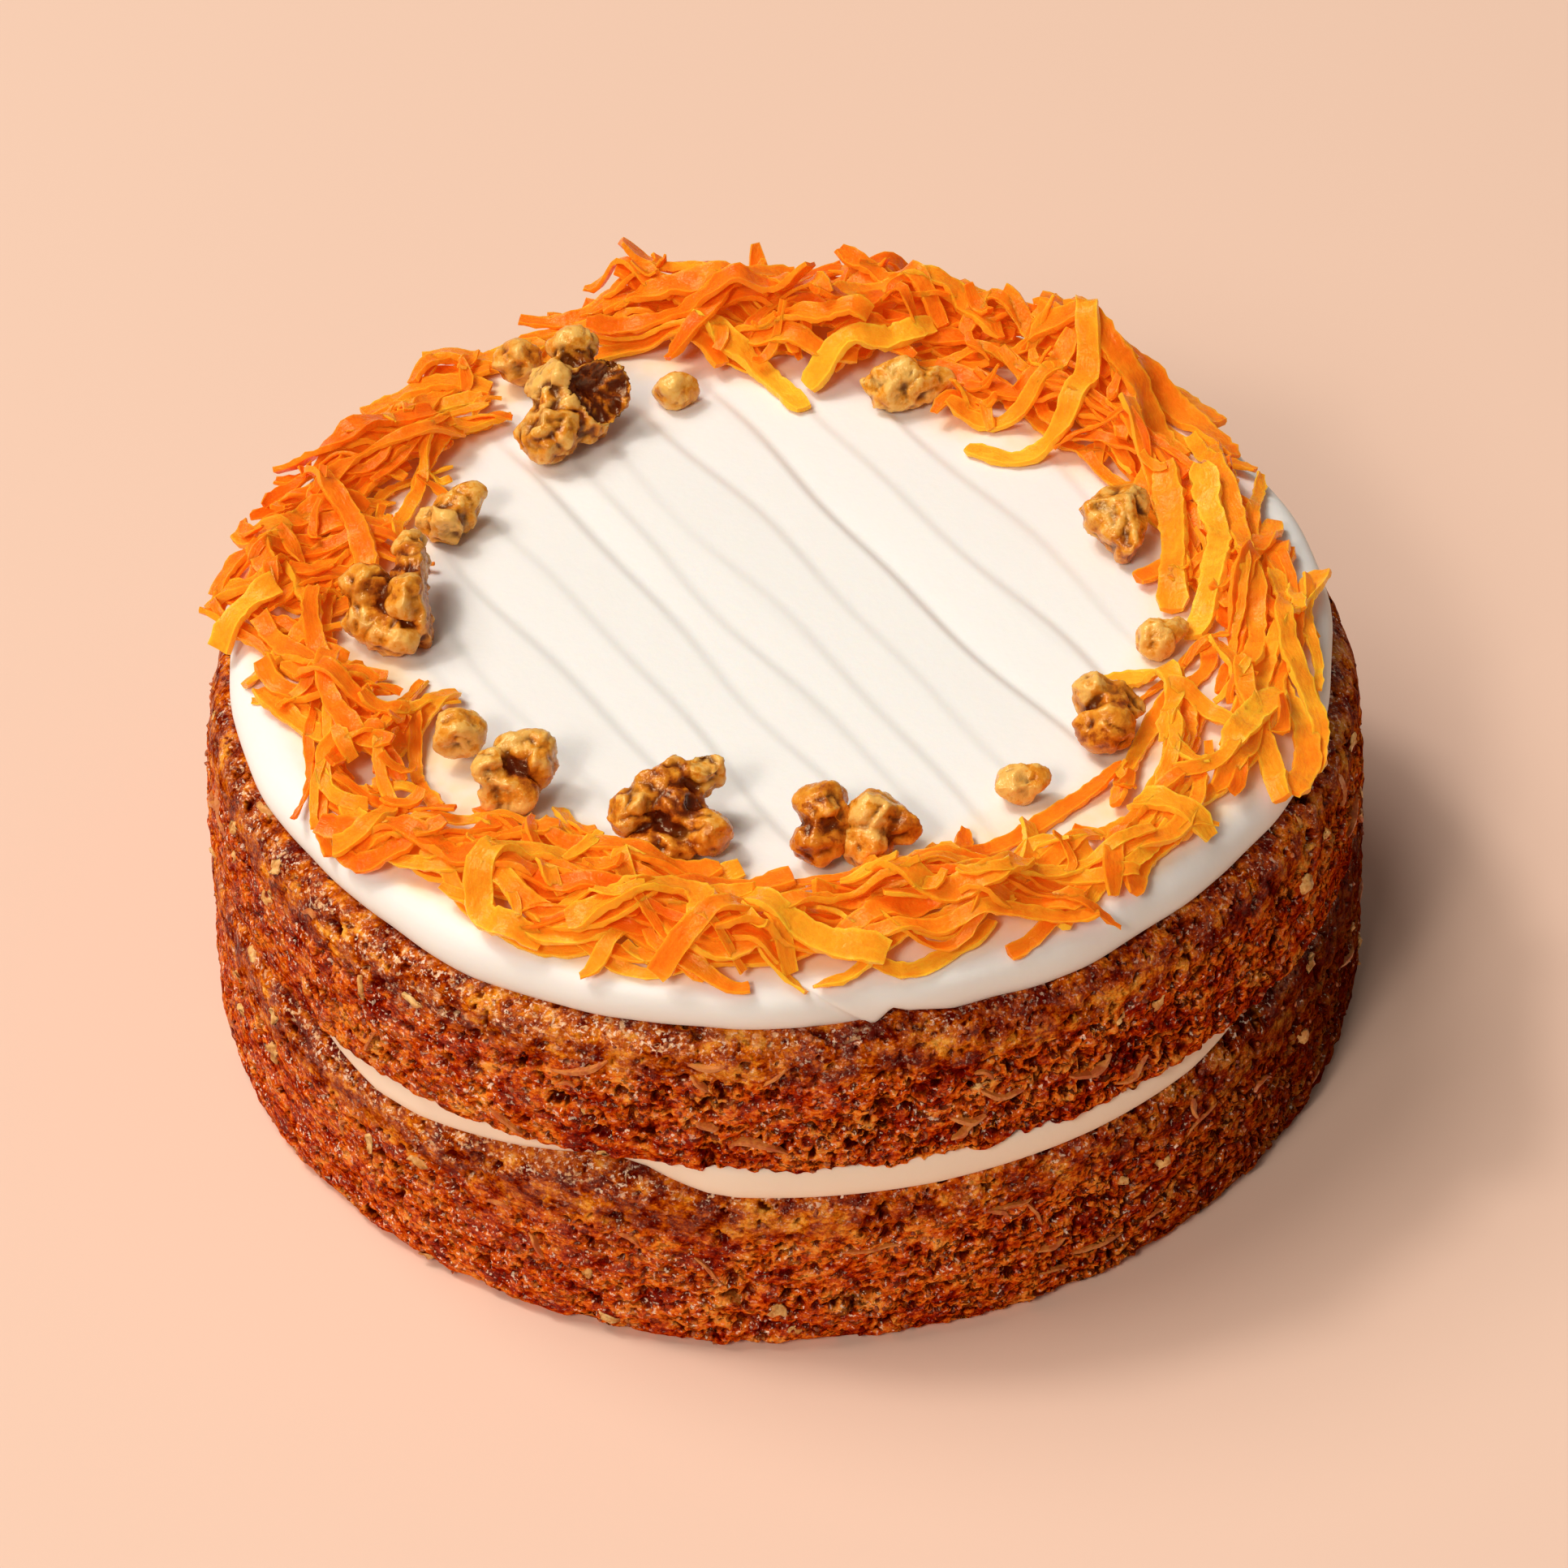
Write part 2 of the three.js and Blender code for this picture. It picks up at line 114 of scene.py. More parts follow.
# %% [markdown]
# ## Node maths
# Materials and Geometry Nodes trees are sums of small operations. `Wire` wraps one socket, so that such
# a sum can be written as ordinary Python: `1 - mask * 0.5` adds the Math nodes for it. Every other kind
# of node comes from the one method `node`, which takes the node's type, its settings and its sockets.

# %% A wire between nodes
class Wire:
    """One socket of a node tree, on which Python's operators add Math nodes."""

    def __init__(self, tree, socket=None):
        self.tree = tree
        self.socket = socket

    def node(self, kind, settings=None, sockets=None, output=0):
        """Adds a node: settings first, then a value or a wire for each socket named or numbered."""
        made = self.tree.nodes.new(kind)
        for name, value in (settings or {}).items():
            if name == "stops":
                self.set_stops(made.color_ramp.elements, value)
            else:
                setattr(made, name, value)
        for name, value in (sockets or {}).items():
            if isinstance(value, Wire):
                self.tree.links.new(value.socket, made.inputs[name])
            else:
                made.inputs[name].default_value = value
        return Wire(self.tree, made.outputs[output] if made.outputs else None)

    @staticmethod
    def set_stops(elements, stops):
        """Puts the stops in a ramp, in place of the two that every new ramp has."""
        elements.remove(elements[1])
        for place, colour in stops:
            elements.new(place).color = (*colour, 1)
        elements.remove(elements[0])

    def other(self, output):
        """Another output of the node that this wire comes from."""
        return Wire(self.tree, self.socket.node.outputs[output])

    def maths(self, operation, *values):
        return self.node("ShaderNodeMath", {"operation": operation}, dict(enumerate(values)))

    def vector(self, operation, *values, output=0):
        """Vector Math on this wire and what follows it."""
        sockets = dict(enumerate((self, *values)))
        return self.node("ShaderNodeVectorMath", {"operation": operation}, sockets, output)

    def scaled(self, factor):
        """This vector, made longer or shorter by a number or a wire."""
        settings = {"operation": "SCALE"}
        return self.node("ShaderNodeVectorMath", settings, {"Vector": self, "Scale": factor})

    def highest(self, other):
        return self.maths("MAXIMUM", self, other)

    def below(self, limit):
        """1 where this wire is less than the limit, and 0 elsewhere."""
        return self.maths("LESS_THAN", self, limit)

    def above(self, limit):
        """1 where this wire is more than the limit, and 0 elsewhere."""
        return self.maths("GREATER_THAN", self, limit)

    def absolute(self):
        return self.maths("ABSOLUTE", self)

    def ramp(self, *stops):
        """A colour for this wire's value, from stops of a place and a colour."""
        return self.node("ShaderNodeValToRGB", {"stops": stops}, {0: self})

    def __add__(self, other):
        return self.maths("ADD", self, other)

    def __sub__(self, other):
        return self.maths("SUBTRACT", self, other)

    def __rsub__(self, other):
        return self.maths("SUBTRACT", other, self)

    def __mul__(self, other):
        return self.maths("MULTIPLY", self, other)

    def __truediv__(self, other):
        return self.maths("DIVIDE", self, other)

    def __rtruediv__(self, other):
        return self.maths("DIVIDE", other, self)

    __radd__ = __add__
    __rmul__ = __mul__

    def between(self, low, high):
        """0 below low, 1 above high, and a smooth step from one to the other."""
        sockets = {"Value": self, "From Min": low, "From Max": high}
        return self.node("ShaderNodeMapRange", {"interpolation_type": "SMOOTHSTEP"}, sockets)

    def blend(self, first, second):
        """The colour `first` where this wire is 0, and `second` where it is 1."""
        return self.node("ShaderNodeMix", {"data_type": "RGBA"}, {0: self, 6: first, 7: second}, 2)

    def noise(self, size, detail=2, roughness=0.5, output="Fac"):
        """Noise at this place, whose lumps are `size` metres across."""
        sockets = {"Vector": self, "Scale": 1 / size, "Detail": detail, "Roughness": roughness}
        return self.node("ShaderNodeTexNoise", sockets=sockets, output=output)

    def adrift(self, size):
        """A vector that points somewhere else from lump to lump of a noise, up to half a unit."""
        return self.noise(size, output="Color").vector("SUBTRACT", (0.5, 0.5, 0.5))

    def wandering(self, size, reach):
        """This place moved about by up to half of `reach`, so that a pattern read there is uneven."""
        return self.vector("ADD", self.adrift(size).scaled(reach))


# %% [markdown]
# ## Geometry Nodes trees
# What repeats or follows a surface is grown by a Geometry Nodes tree: the pits and crags of the crumb,
# the flakes on it, the grooves of the nuts, the ribbons of carrot. Each tree has a named input for each
# of its sizes. When it has run, its result is kept as a plain mesh and the modifier is dropped, so
# nothing stays live.

# %% Building and running a tree
FLOAT, WHOLE, MATERIAL = "NodeSocketFloat", "NodeSocketInt", "NodeSocketMaterial"


def growing_tree(name, inputs):
    """A tree with geometry in and out and the named inputs; returns it with a wire for each input."""
    tree = bpy.data.node_groups.new(name, "GeometryNodeTree")
    tree.interface.new_socket("Geometry", in_out="INPUT", socket_type="NodeSocketGeometry")
    tree.interface.new_socket("Geometry", in_out="OUTPUT", socket_type="NodeSocketGeometry")
    for label, kind in inputs.items():
        tree.interface.new_socket(label, in_out="INPUT", socket_type=kind)
    start = Wire(tree).node("NodeGroupInput")
    return tree, {label: start.other(label) for label in ("Geometry", *inputs)}


def end_tree(geometry, material):
    """Makes what was grown real, gives it its material and hands it out of the tree."""
    real = geometry.node("GeometryNodeRealizeInstances", sockets={"Geometry": geometry})
    dressed = real.node("GeometryNodeSetMaterial", sockets={"Geometry": real, "Material": material})
    dressed.node("NodeGroupOutput", sockets={"Geometry": dressed})


def with_mesh(piece, mesh):
    """The piece with another mesh in place of the one that it had."""
    old = piece.data
    piece.data = mesh
    bpy.data.meshes.remove(old)
    mesh.name = piece.name
    return piece


def grow(piece, tree, **values):
    """Runs the tree on the piece and keeps the result as its mesh. Input names have _ for spaces."""
    modifier = piece.modifiers.new(tree.name, "NODES")
    modifier.node_group = tree
    for socket in tree.interface.items_tree:
        key = socket.name.lower().replace(" ", "_")
        if socket.in_out == "INPUT" and key in values:
            modifier[socket.identifier] = values[key]
    graph = bpy.context.evaluated_depsgraph_get()
    ready = piece.evaluated_get(graph)
    mesh = bpy.data.meshes.new_from_object(ready, preserve_all_data_layers=True, depsgraph=graph)
    piece.modifiers.remove(modifier)
    return with_mesh(piece, mesh)


# %% [markdown]
# Three steps come back in several trees: moving points along their normals, marking every point with a
# value that a material can read, and measuring how hollow the surface is at a point, which is how far
# it lies behind the average of its neighbours.

# %% Steps that the trees share
def stored(geometry, name, value):
    """Keeps a value on every point of the geometry, under a name that a material can read."""
    settings = {"data_type": "FLOAT", "domain": "POINT"}
    sockets = {"Geometry": geometry, "Name": name, "Value": value}
    return geometry.node("GeometryNodeStoreNamedAttribute", settings, sockets)


def read(tree, name):
    """A wire with the value that is kept on the points under that name."""
    return Wire(tree).node("GeometryNodeInputNamedAttribute", {"data_type": "FLOAT"}, {"Name": name})


def moved(geometry, offset):
    """The geometry with every point moved by the offset there."""
    return geometry.node("GeometryNodeSetPosition", sockets={"Geometry": geometry, "Offset": offset})


def shaded_smooth(geometry):
    sockets = {"Geometry": geometry, "Shade Smooth": True}
    return geometry.node("GeometryNodeSetShadeSmooth", sockets=sockets)


def hollowness(place, normal, passes):
    """Millimetres that a point lies behind its neighbours; it is negative on ridges."""
    around = {"Value": place, "Iterations": passes}
    smooth = place.node("GeometryNodeBlurAttribute", {"data_type": "FLOAT_VECTOR"}, around)
    return smooth.vector("SUBTRACT", place).vector("DOT_PRODUCT", normal, output="Value") * 1000


# %% [markdown]
# ## Meshes from outlines
# Layers and cream are turned shapes: an outline of radius and height goes round the axis. The wall gets
# a ring of points about every half millimetre, because its relief is real geometry, while the flat faces
# that nothing can see stay coarse. `closed` measures each skin's volume, and turns it the right way out
# if that is negative.

# %% Outlines
def stepped(outline, step):
    """Points about `step` apart along an outline of corners."""
    outline = np.array(outline, float)
    reach = np.concatenate([[0], np.cumsum(np.hypot(*np.diff(outline, axis=0).T))])
    marks = np.linspace(0, reach[-1], max(1, round(reach[-1] / step)) + 1)
    return np.column_stack([np.interp(marks, reach, column) for column in outline.T])


def softened(outline, passes):
    """The outline with its corners worn round; its two ends stay."""
    outline = outline.copy()
    for _ in range(passes):
        outline[1:-1] = (outline[:-2] + 2 * outline[1:-1] + outline[2:]) / 4
    return outline


def ways_out(azimuth):
    """For each azimuth, the direction that leads away from the axis."""
    turn = np.radians(azimuth)
    return np.stack([np.cos(turn), np.sin(turn)], axis=1)


def turned_points(rows, columns):
    """(rows, columns, 3) points of an outline turned round Z, with the azimuth of each column."""
    azimuth = np.linspace(0, 360, columns, endpoint=False)
    flat = rows[:, :1, None] * ways_out(azimuth)[None]
    height = np.broadcast_to(rows[:, 1, None, None], (len(rows), columns, 1))
    return np.concatenate([flat, height], axis=2), azimuth


def woven_faces(rows, columns, first=0):
    """Quads between neighbouring rings of points, numbered from `first`."""
    ring, spot = np.meshgrid(np.arange(rows - 1), np.arange(columns), indexing="ij")
    after = (spot + 1) % columns
    corners = [ring * columns + spot, ring * columns + after]
    corners += [corner + columns for corner in reversed(corners)]
    return (np.stack(corners, axis=2).reshape(-1, 4) + first).tolist()


def pole_faces(pole, ring_start, columns, upward):
    """Triangles from the points of a ring to a point on the axis, which close a skin there."""
    spots = np.arange(columns)
    ends = [ring_start + spots, ring_start + (spots + 1) % columns]
    if not upward:
        ends.reverse()
    return np.stack([*ends, np.full(columns, pole)], axis=1).tolist()


# %% [markdown]
# A skin also carries values on its points, such as how wet the crumb is there. They are worked out from
# the azimuth and the height of a point while it is still known where on the outline it lies, and the
# trees and materials read them later by their names.

# %% Turned skins
def keep_on_points(mesh, name, values):
    layer = mesh.attributes.new(name, "FLOAT", "POINT")
    layer.data.foreach_set("value", np.asarray(values, np.float32).ravel())


def closed(name, points, faces, marks):
    """A piece from millimetre points; its faces are turned outwards, and the marks are kept on points."""
    mesh = bpy.data.meshes.new(name)
    mesh.from_pydata((np.asarray(points) * MM).tolist(), [], faces)
    mesh.polygons.foreach_set("use_smooth", np.ones(len(faces), bool))
    for key, values in marks.items():
        keep_on_points(mesh, key, values)
    mesh.calc_loop_triangles()
    corners = np.zeros(len(mesh.loop_triangles) * 3, np.int32)
    mesh.loop_triangles.foreach_get("vertices", corners)
    a, b, c = np.asarray(points, float)[corners.reshape(-1, 3)].transpose(1, 0, 2)
    volume = np.einsum("ij,ij->", a, np.cross(b, c)) / 6
    if volume < 0:
        mesh.flip_normals()
    print(f"{name}: {len(corners) // 3} triangles round {abs(volume) / 1000:.1f} cm3")
    return added(name, mesh)


def turned_skin(name, rows, columns, shape, layers):
    """A closed turned skin. shape(points, azimuth) moves its rings; layers(points, azimuth) marks them."""
    rings, azimuth = turned_points(rows[1:-1], columns)
    rings = shape(rings, azimuth)
    count = len(rings) * columns
    points = np.vstack([rings.reshape(-1, 3), [0, 0, rows[0, 1]], [0, 0, rows[-1, 1]]])
    faces = woven_faces(len(rings), columns)
    faces += pole_faces(count, 0, columns, False)
    faces += pole_faces(count + 1, count - columns, columns, True)
    marks = {key: np.append(value.ravel(), [0, 0]) for key, value in layers(rings, azimuth).items()}
    return closed(name, points, faces, marks)


# %% [markdown]
# Nothing on a cake is the same all round. These few functions say where along the azimuth, or up the
# side, something happens, and they fade it in and out so that no edge shows.

# %% Fading in and out
def bump(azimuth, centre, half_width):
    """1 at a centre azimuth, falling smoothly to 0 at its half width."""
    away = np.abs((azimuth - centre + 540) % 360 - 180)
    return np.where(away < half_width, 0.5 + 0.5 * np.cos(np.pi * np.minimum(away / half_width, 1)), 0)


def bumps(azimuth, table):
    """The sum of bumps that are listed by their centre, half width and height."""
    return sum(height * bump(azimuth, centre, width) for centre, width, height in table)


def eased(value, low, high):
    """0 below low, 1 above high, and a smooth step from one to the other."""
    share = np.clip((value - low) / (high - low), 0, 1)
    return share * share * (3 - 2 * share)


def radius_of(rings):
    return np.hypot(rings[..., 0], rings[..., 1])


def push_out(rings, distance):
    """Moves points away from the axis, each by its own distance."""
    outward = rings[..., :2] / np.maximum(radius_of(rings), 1)[..., None]
    rings[..., :2] += outward * distance[..., None]


# %% [markdown]
# ## Materials
# Every finish starts from one Principled shader. Only colour, the glow of painted light, roughness, coat
# and bump change over a surface, and the soft glow under the surface of cream and carrot is a constant of
# its shader. Patterns read Object coordinates, which are the cake's own metres, or a value that is kept on
# the points.

# %% One shader
def new_finish(name, **constants):
    """A material with a bare Principled shader; returns it with that node and its object coordinates."""
    material = bpy.data.materials.new(name)
    material.use_nodes = True
    shader = material.node_tree.nodes["Principled BSDF"]
    for label, value in constants.items():
        shader.inputs[label.replace("_", " ").title().replace("Ior", "IOR")].default_value = value
    place = Wire(material.node_tree).node("ShaderNodeTexCoord", output="Object")
    return material, shader, place


def drive(shader, place, **wires):
    """Links each wire to the shader's socket of that name."""
    for label, wire in wires.items():
        place.tree.links.new(wire.socket, shader.inputs[label.replace("_", " ").title()])


def mixed(material, shader, second, share):
    """Shows the second shader over the first where the share is 1."""
    first = Wire(material.node_tree, shader.outputs[0])
    both = share.node("ShaderNodeMixShader", sockets={0: share, 1: first, 2: second})
    surface = material.node_tree.nodes["Material Output"].inputs["Surface"]
    material.node_tree.links.new(both.socket, surface)


def kept(place, name):
    """A wire with the value kept on the points under that name."""
    return place.node("ShaderNodeAttribute", {"attribute_name": name}, output="Fac")


def relief(place, height, strength, distance):
    """A normal that makes the height look like real relief, `distance` metres deep."""
    sockets = {"Strength": strength, "Distance": distance, "Height": height}
    return place.node("ShaderNodeBump", sockets=sockets, output="Normal")


# %% [markdown]
# ## Sponge
# A spiced sponge is dark, moist and open. Its baked shoulder is a wet, nearly smooth crust, and below it
# the side is torn crumb: pits of one to three millimetres with thin walls between them, in clusters. It
# could be drawn as a bump map, but pits that deep have to shade each other and break the outline, so
# Geometry Nodes sink them into the mesh. The tree also keeps how deep and how hollow each point lies,
# which the material turns into painted shade, and how nearly it faces the two directions from which wet
# crumb mirrors the lamps to someone who stands in front of the cake, where the material paints
# highlights.

# %% The crumb's tree
LEDGE_FACING = (-0.28, -0.35, 0.90)    # faces like this mirror the window
GLEAM_FACING = (-0.44, -0.59, 0.68)    # and faces like this the lamp in front
CLUSTER_SIZE = 0.014                   # patches of crumb with many pits
CRAG_SIZE = 0.0042                     # lumps of torn crumb
FOLD_SIZE, FOLD_HEIGHT = 0.017, 0.0016


def pits(place, size, share):
    """Depth of the open cells of a foam whose cells are about `size` across, of which a share is open."""
    scale = 1 / size
    cell = place.node("ShaderNodeTexVoronoi", sockets={"Vector": place, "Scale": scale})
    film = place.node(
        "ShaderNodeTexVoronoi", {"feature": "DISTANCE_TO_EDGE"}, {"Vector": place, "Scale": scale},
    )
    luck = place.node("ShaderNodeSeparateXYZ", sockets={0: cell.other("Color")})
    return film.between(0.03, 0.28) * luck.below(share) * (luck.other(1) * 0.6 + 0.4)


def crumb_tree():
    inputs = {"Pit size": FLOAT, "Pit depth": FLOAT, "Crag height": FLOAT, "Material": MATERIAL}
    tree, given = growing_tree("open_crumb", inputs)
    place = Wire(tree).node("GeometryNodeInputPosition")
    normal = place.node("GeometryNodeInputNormal")
    torn = read(tree, "torn")
    wall = read(tree, "wall")
    drift = place.wandering(0.003, 0.0030).wandering(0.0011, 0.0010)
    clusters = place.noise(CLUSTER_SIZE, 1).between(0.36, 0.62)
    large = pits(drift, given["Pit size"], torn * (clusters * 0.50 + 0.08))
    small = pits(drift, given["Pit size"] * 0.5, torn * (clusters * 0.5 + 0.4))
    pit = large.highest(small * 0.55)
    crag = (place.noise(CRAG_SIZE, 4, 0.55) - 0.5) * given["Crag height"] * (torn * 0.8 + 0.3)
    fold = (place.noise(FOLD_SIZE, 2) - 0.5) * FOLD_HEIGHT
    height = crag + fold - pit * given["Pit depth"]
    crumb = moved(given["Geometry"], normal.scaled(height * wall))
    marks = {
        "pit": pit * wall,
        "hollow": hollowness(place, normal, 5),
        "ledge": normal.vector("DOT_PRODUCT", LEDGE_FACING, output="Value"),
        "gleam": normal.vector("DOT_PRODUCT", GLEAM_FACING, output="Value"),
    }
    for name, value in marks.items():
        crumb = stored(crumb, name, value)
    end_tree(crumb, given["Material"])
    return tree


open_crumb = crumb_tree()
print("crumb tree:", len(open_crumb.nodes), "nodes")

# %% [markdown]
# The colour of the crumb runs from a dark red brown to the orange brown of thin, lit edges. It is a ramp
# over two sizes of noise, with ridges painted a little lighter, and a second ramp gives the wet shoulder
# its golden patches. Then painted shade is blended in, one step after another: in pores, hollows and
# pits, and on the right side, which faces away from the window. A picture of crumb would be quicker, but
# it would repeat and bring its own light with it.

# %% Colours of the crumb
BATTER = [
    (0.35, (0.14, 0.0012, 0.0)), (0.43, (0.33, 0.012, 0.0004)), (0.50, (0.64, 0.065, 0.002)),
    (0.56, (0.90, 0.17, 0.010)), (0.65, (1.0, 0.36, 0.055)),
]
GLAZED = [
    (0.37, (0.10, 0.003, 0.0)), (0.44, (0.28, 0.028, 0.0002)), (0.52, (0.56, 0.105, 0.002)),
    (0.60, (0.85, 0.27, 0.012)), (0.69, (0.98, 0.44, 0.06)),
]
# Colours of painted shade: in pores, hollows and pits, and on the side away from the window.
PAINTED_PORE_SHADE = (0.05, 0.0003, 0.0, 1)
PAINTED_HOLLOW_SHADE = (0.10, 0.0006, 0.0, 1)
PAINTED_PIT_SHADE = (0.035, 0.0003, 0.0, 1)
SIDE_SHADE_COLOUR = (0.05, 0.002, 0.0, 1)


def batter_colour(place, drift, fine):
    """Torn batter and wet crust, each in patches, blended by how wet the crumb is."""
    middle = drift.noise(0.0050, 3, 0.58)
    broad = place.noise(0.016, 2) - 0.5
    # Ridges are painted a little lighter, as if lit.
    ridge = (0 - kept(place, "hollow")).between(0.05, 0.4)
    batter = (middle * 0.55 + fine * 0.5 + broad * 0.15 + ridge * 0.05 - 0.025).ramp(*BATTER)
    glazed = (middle * 0.75 + fine * 0.45 + broad * 0.3 - 0.125).ramp(*GLAZED)
    return (kept(place, "wet") * 0.85).blend(batter, glazed)


def with_painted_shade(place, colour, pores):
    """The colour with painted shade in pores, hollows and pits, and on the side away from the window."""
    hollow = kept(place, "hollow").between(-0.05, 0.35)
    pit = kept(place, "pit").between(0.1, 0.6)
    # Painted shade: pores, hollows and pits are made darker, where shade would fall in them.
    colour = (pores * 0.85).blend(colour, PAINTED_PORE_SHADE)
    colour = (hollow * 0.8).blend(colour, PAINTED_HOLLOW_SHADE)
    colour = (pit * 0.9).blend(colour, PAINTED_PIT_SHADE)
    # Painted shade on the side that faces away from the window.
    return (kept(place, "baked") * 0.8).blend(colour, SIDE_SHADE_COLOUR)


# %% [markdown]
# What makes it look moist is small: glints where syrup catches the light on level ledges, and short
# streaks of light on the wet shoulder. A render with few samples would blur such points away, so they
# are painted into the colour as highlights, and they glow a little. Between them a second, glossy shader
# covers patches of the crust like a thin glaze. The rest of the crumb mirrors nothing, because dry crumb
# is dull.

# %% The sponge's finish
PAINTED_GLINT_COLOUR = (1.0, 0.74, 0.52, 1)
STREAK_HIGHLIGHT_COLOUR = (1.0, 0.58, 0.28, 1)
NO_LIGHT = (0, 0, 0, 1)
GLAZE_TINT = (1.0, 0.82, 0.62, 1)


def sponge_finish():
    material, shader, place = new_finish(
        "spiced_sponge", roughness=0.8, emission_strength=0.3, specular_ior_level=0.0,
    )
    wet = kept(place, "wet")
    drift = place.vector("MULTIPLY", (1, 1, 1.5)).wandering(0.0016, 0.0012)
    fine = drift.noise(0.0010, 4, 0.65)
    open_share = (kept(place, "torn") * 0.8 + 0.25) * (1 - wet * 0.5)
    pores = (0.5 - drift.noise(0.0017, 3, 0.6)).between(0.055, 0.085) * open_share
    crust = with_painted_shade(place, batter_colour(place, drift, fine), pores)

    level = 1 - kept(place, "pit").between(0, 0.2)
    ledge = kept(place, "ledge").between(0.15, 0.60) * level
    gleam = kept(place, "gleam").between(0.80, 0.96) * wet * level
    # Painted highlights: streaks of light on the wet shoulder, and glints on level ledges and the
    # shoulder.
    streak_highlight = drift.noise(0.0013, 3, 0.6).between(0.53, 0.65) * gleam
    highlighted_crust = (streak_highlight * 0.75).blend(crust, STREAK_HIGHLIGHT_COLOUR)
    glint_spots = place.wandering(0.0008, 0.0006).noise(0.0007, 2, 0.5).between(0.59, 0.65)
    spread = place.noise(0.007, 2).between(0.40, 0.55) * 0.55 + 0.2
    painted_glint = glint_spots * (ledge * (1 - wet * 0.75) * spread + gleam * 0.5)
    colour = painted_glint.blend(highlighted_crust, PAINTED_GLINT_COLOUR)
    rough = place.noise(0.0011, 1) * 1.2 + fine * 0.3 - pores * 0.6
    # The painted glints also glow a little, through the emission.
    drive(
        shader, place, base_color=colour, emission_color=painted_glint.blend(NO_LIGHT, PAINTED_GLINT_COLOUR),
        normal=relief(place, rough, 1.0, 0.0010),
    )

    wavy = relief(place, place.noise(0.0026, 3, 0.55), 1.0, 0.0030)
    glaze = place.node("ShaderNodeBsdfPrincipled", sockets={
        "Base Color": colour, "Roughness": 0.13, "IOR": 1.7, "Normal": wavy, "Specular Tint": GLAZE_TINT,
    })
    moist = place.noise(0.0035, 3).between(0.40, 0.55) * (ledge * 0.40 + wet * level * 0.12)
    mixed(material, shader, glaze, moist)
    return material


spiced_sponge = sponge_finish()
print("sponge finish:", len(spiced_sponge.node_tree.nodes), "nodes")

# %% [markdown]
# The layers are not round like a machined disc. Cream pushes out between them along part of the rim, the
# tin leaves a slow sway, and the trimmed edge is ragged. The first follows a short table round the cake,
# and the others are sums of waves, which cost nothing and never repeat.

# %% Unevenness of the layers
CREAM_THICKNESS = [                # azimuth, and how much of the cream's edge shows there
    (212, 0), (219, 2.6), (229, 5.0), (243, 2.7), (252, 1.0), (256, 1.6), (262, 4.0), (271, 5.6),
    (285, 4.4), (300, 3.9), (312, 3.2), (322, 1.5), (329, 0), (410, 0), (430, 3.4), (460, 4.2),
    (490, 3.2), (510, 0), (572, 0),
]
FULL_CREAM = 5.6


def cream_shows(azimuth):
    """How much of the cream shows at an azimuth: 0 is none and 1 its full thickness."""
    marks, widths = np.array(CREAM_THICKNESS, float).T
    turned = np.where(azimuth < marks[0], azimuth + 360, azimuth)
    return np.minimum(np.interp(turned, marks, widths) / FULL_CREAM * 1.25, 1)


def sway(azimuth, phase):
    """The slow unevenness of a tin and a palette knife."""
    turns = np.radians(azimuth)
    return 0.35 * np.sin(3 * turns + phase) + 0.22 * np.sin(7 * turns + 2 * phase)


def ragged(azimuth, seed, reach, bites):
    """Uneven bites along an edge: a sum of waves, some `bites` of them round the cake."""
    random = np.random.default_rng(seed)
    total = np.zeros_like(azimuth)
    for waves_round in bites:
        phase = random.uniform(0, 2 * np.pi, 5)
        counts = waves_round * random.uniform(0.7, 1.3, 5)
        for count, start in zip(np.round(counts), phase):
            total += np.sin(np.radians(azimuth) * count + start) / len(bites) / 2.2
    return reach * total


print("share of the cream that shows:", {a: round(float(cream_shows(a)), 2) for a in (0, 90, 180, 270)})

# %% [markdown]
# The two layers share the tree and the finish. What differs is their outline, and where their wall is
# wet, torn and dark. Nearly all of the points go to the wall, and only a few to the faces that cream
# covers.

# %% What the layers share
WALL_STEP = 0.56                   # between rings of points on a wall
WALL_COLUMNS = 1120                # points round it
FLAT_STEP = 42                     # between rings on faces that are covered


def layer_rows(floor, wall, lid, passes):
    """The outline of a layer: coarse below and on top, fine and softened on its wall."""
    edge = softened(stepped(wall, WALL_STEP), passes)
    return np.vstack([stepped(floor, FLAT_STEP)[:-1], edge, stepped(lid, FLAT_STEP)[1:]])


def crumb_marks(azimuth, wall, wet, torn, side_shade_strength):
    """What a layer keeps on its points: where its relief is, how wet and torn it is, and its painted side
    shade.
    """
    # Painted shade on the side at azimuth 345, which faces away from the window.
    dark = side_shade_strength * bump(azimuth, 345, 62) + 0 * wall
    return {"wall": wall, "wet": np.clip(wet, 0, 1), "torn": np.clip(torn, 0, 1), "baked": dark}


# %% [markdown]
# The lower wall leans in a little towards its top, and is open nearly up to its shoulder, most of all on
# the front right. Where no cream shows, the shoulder climbs to meet the layer above.

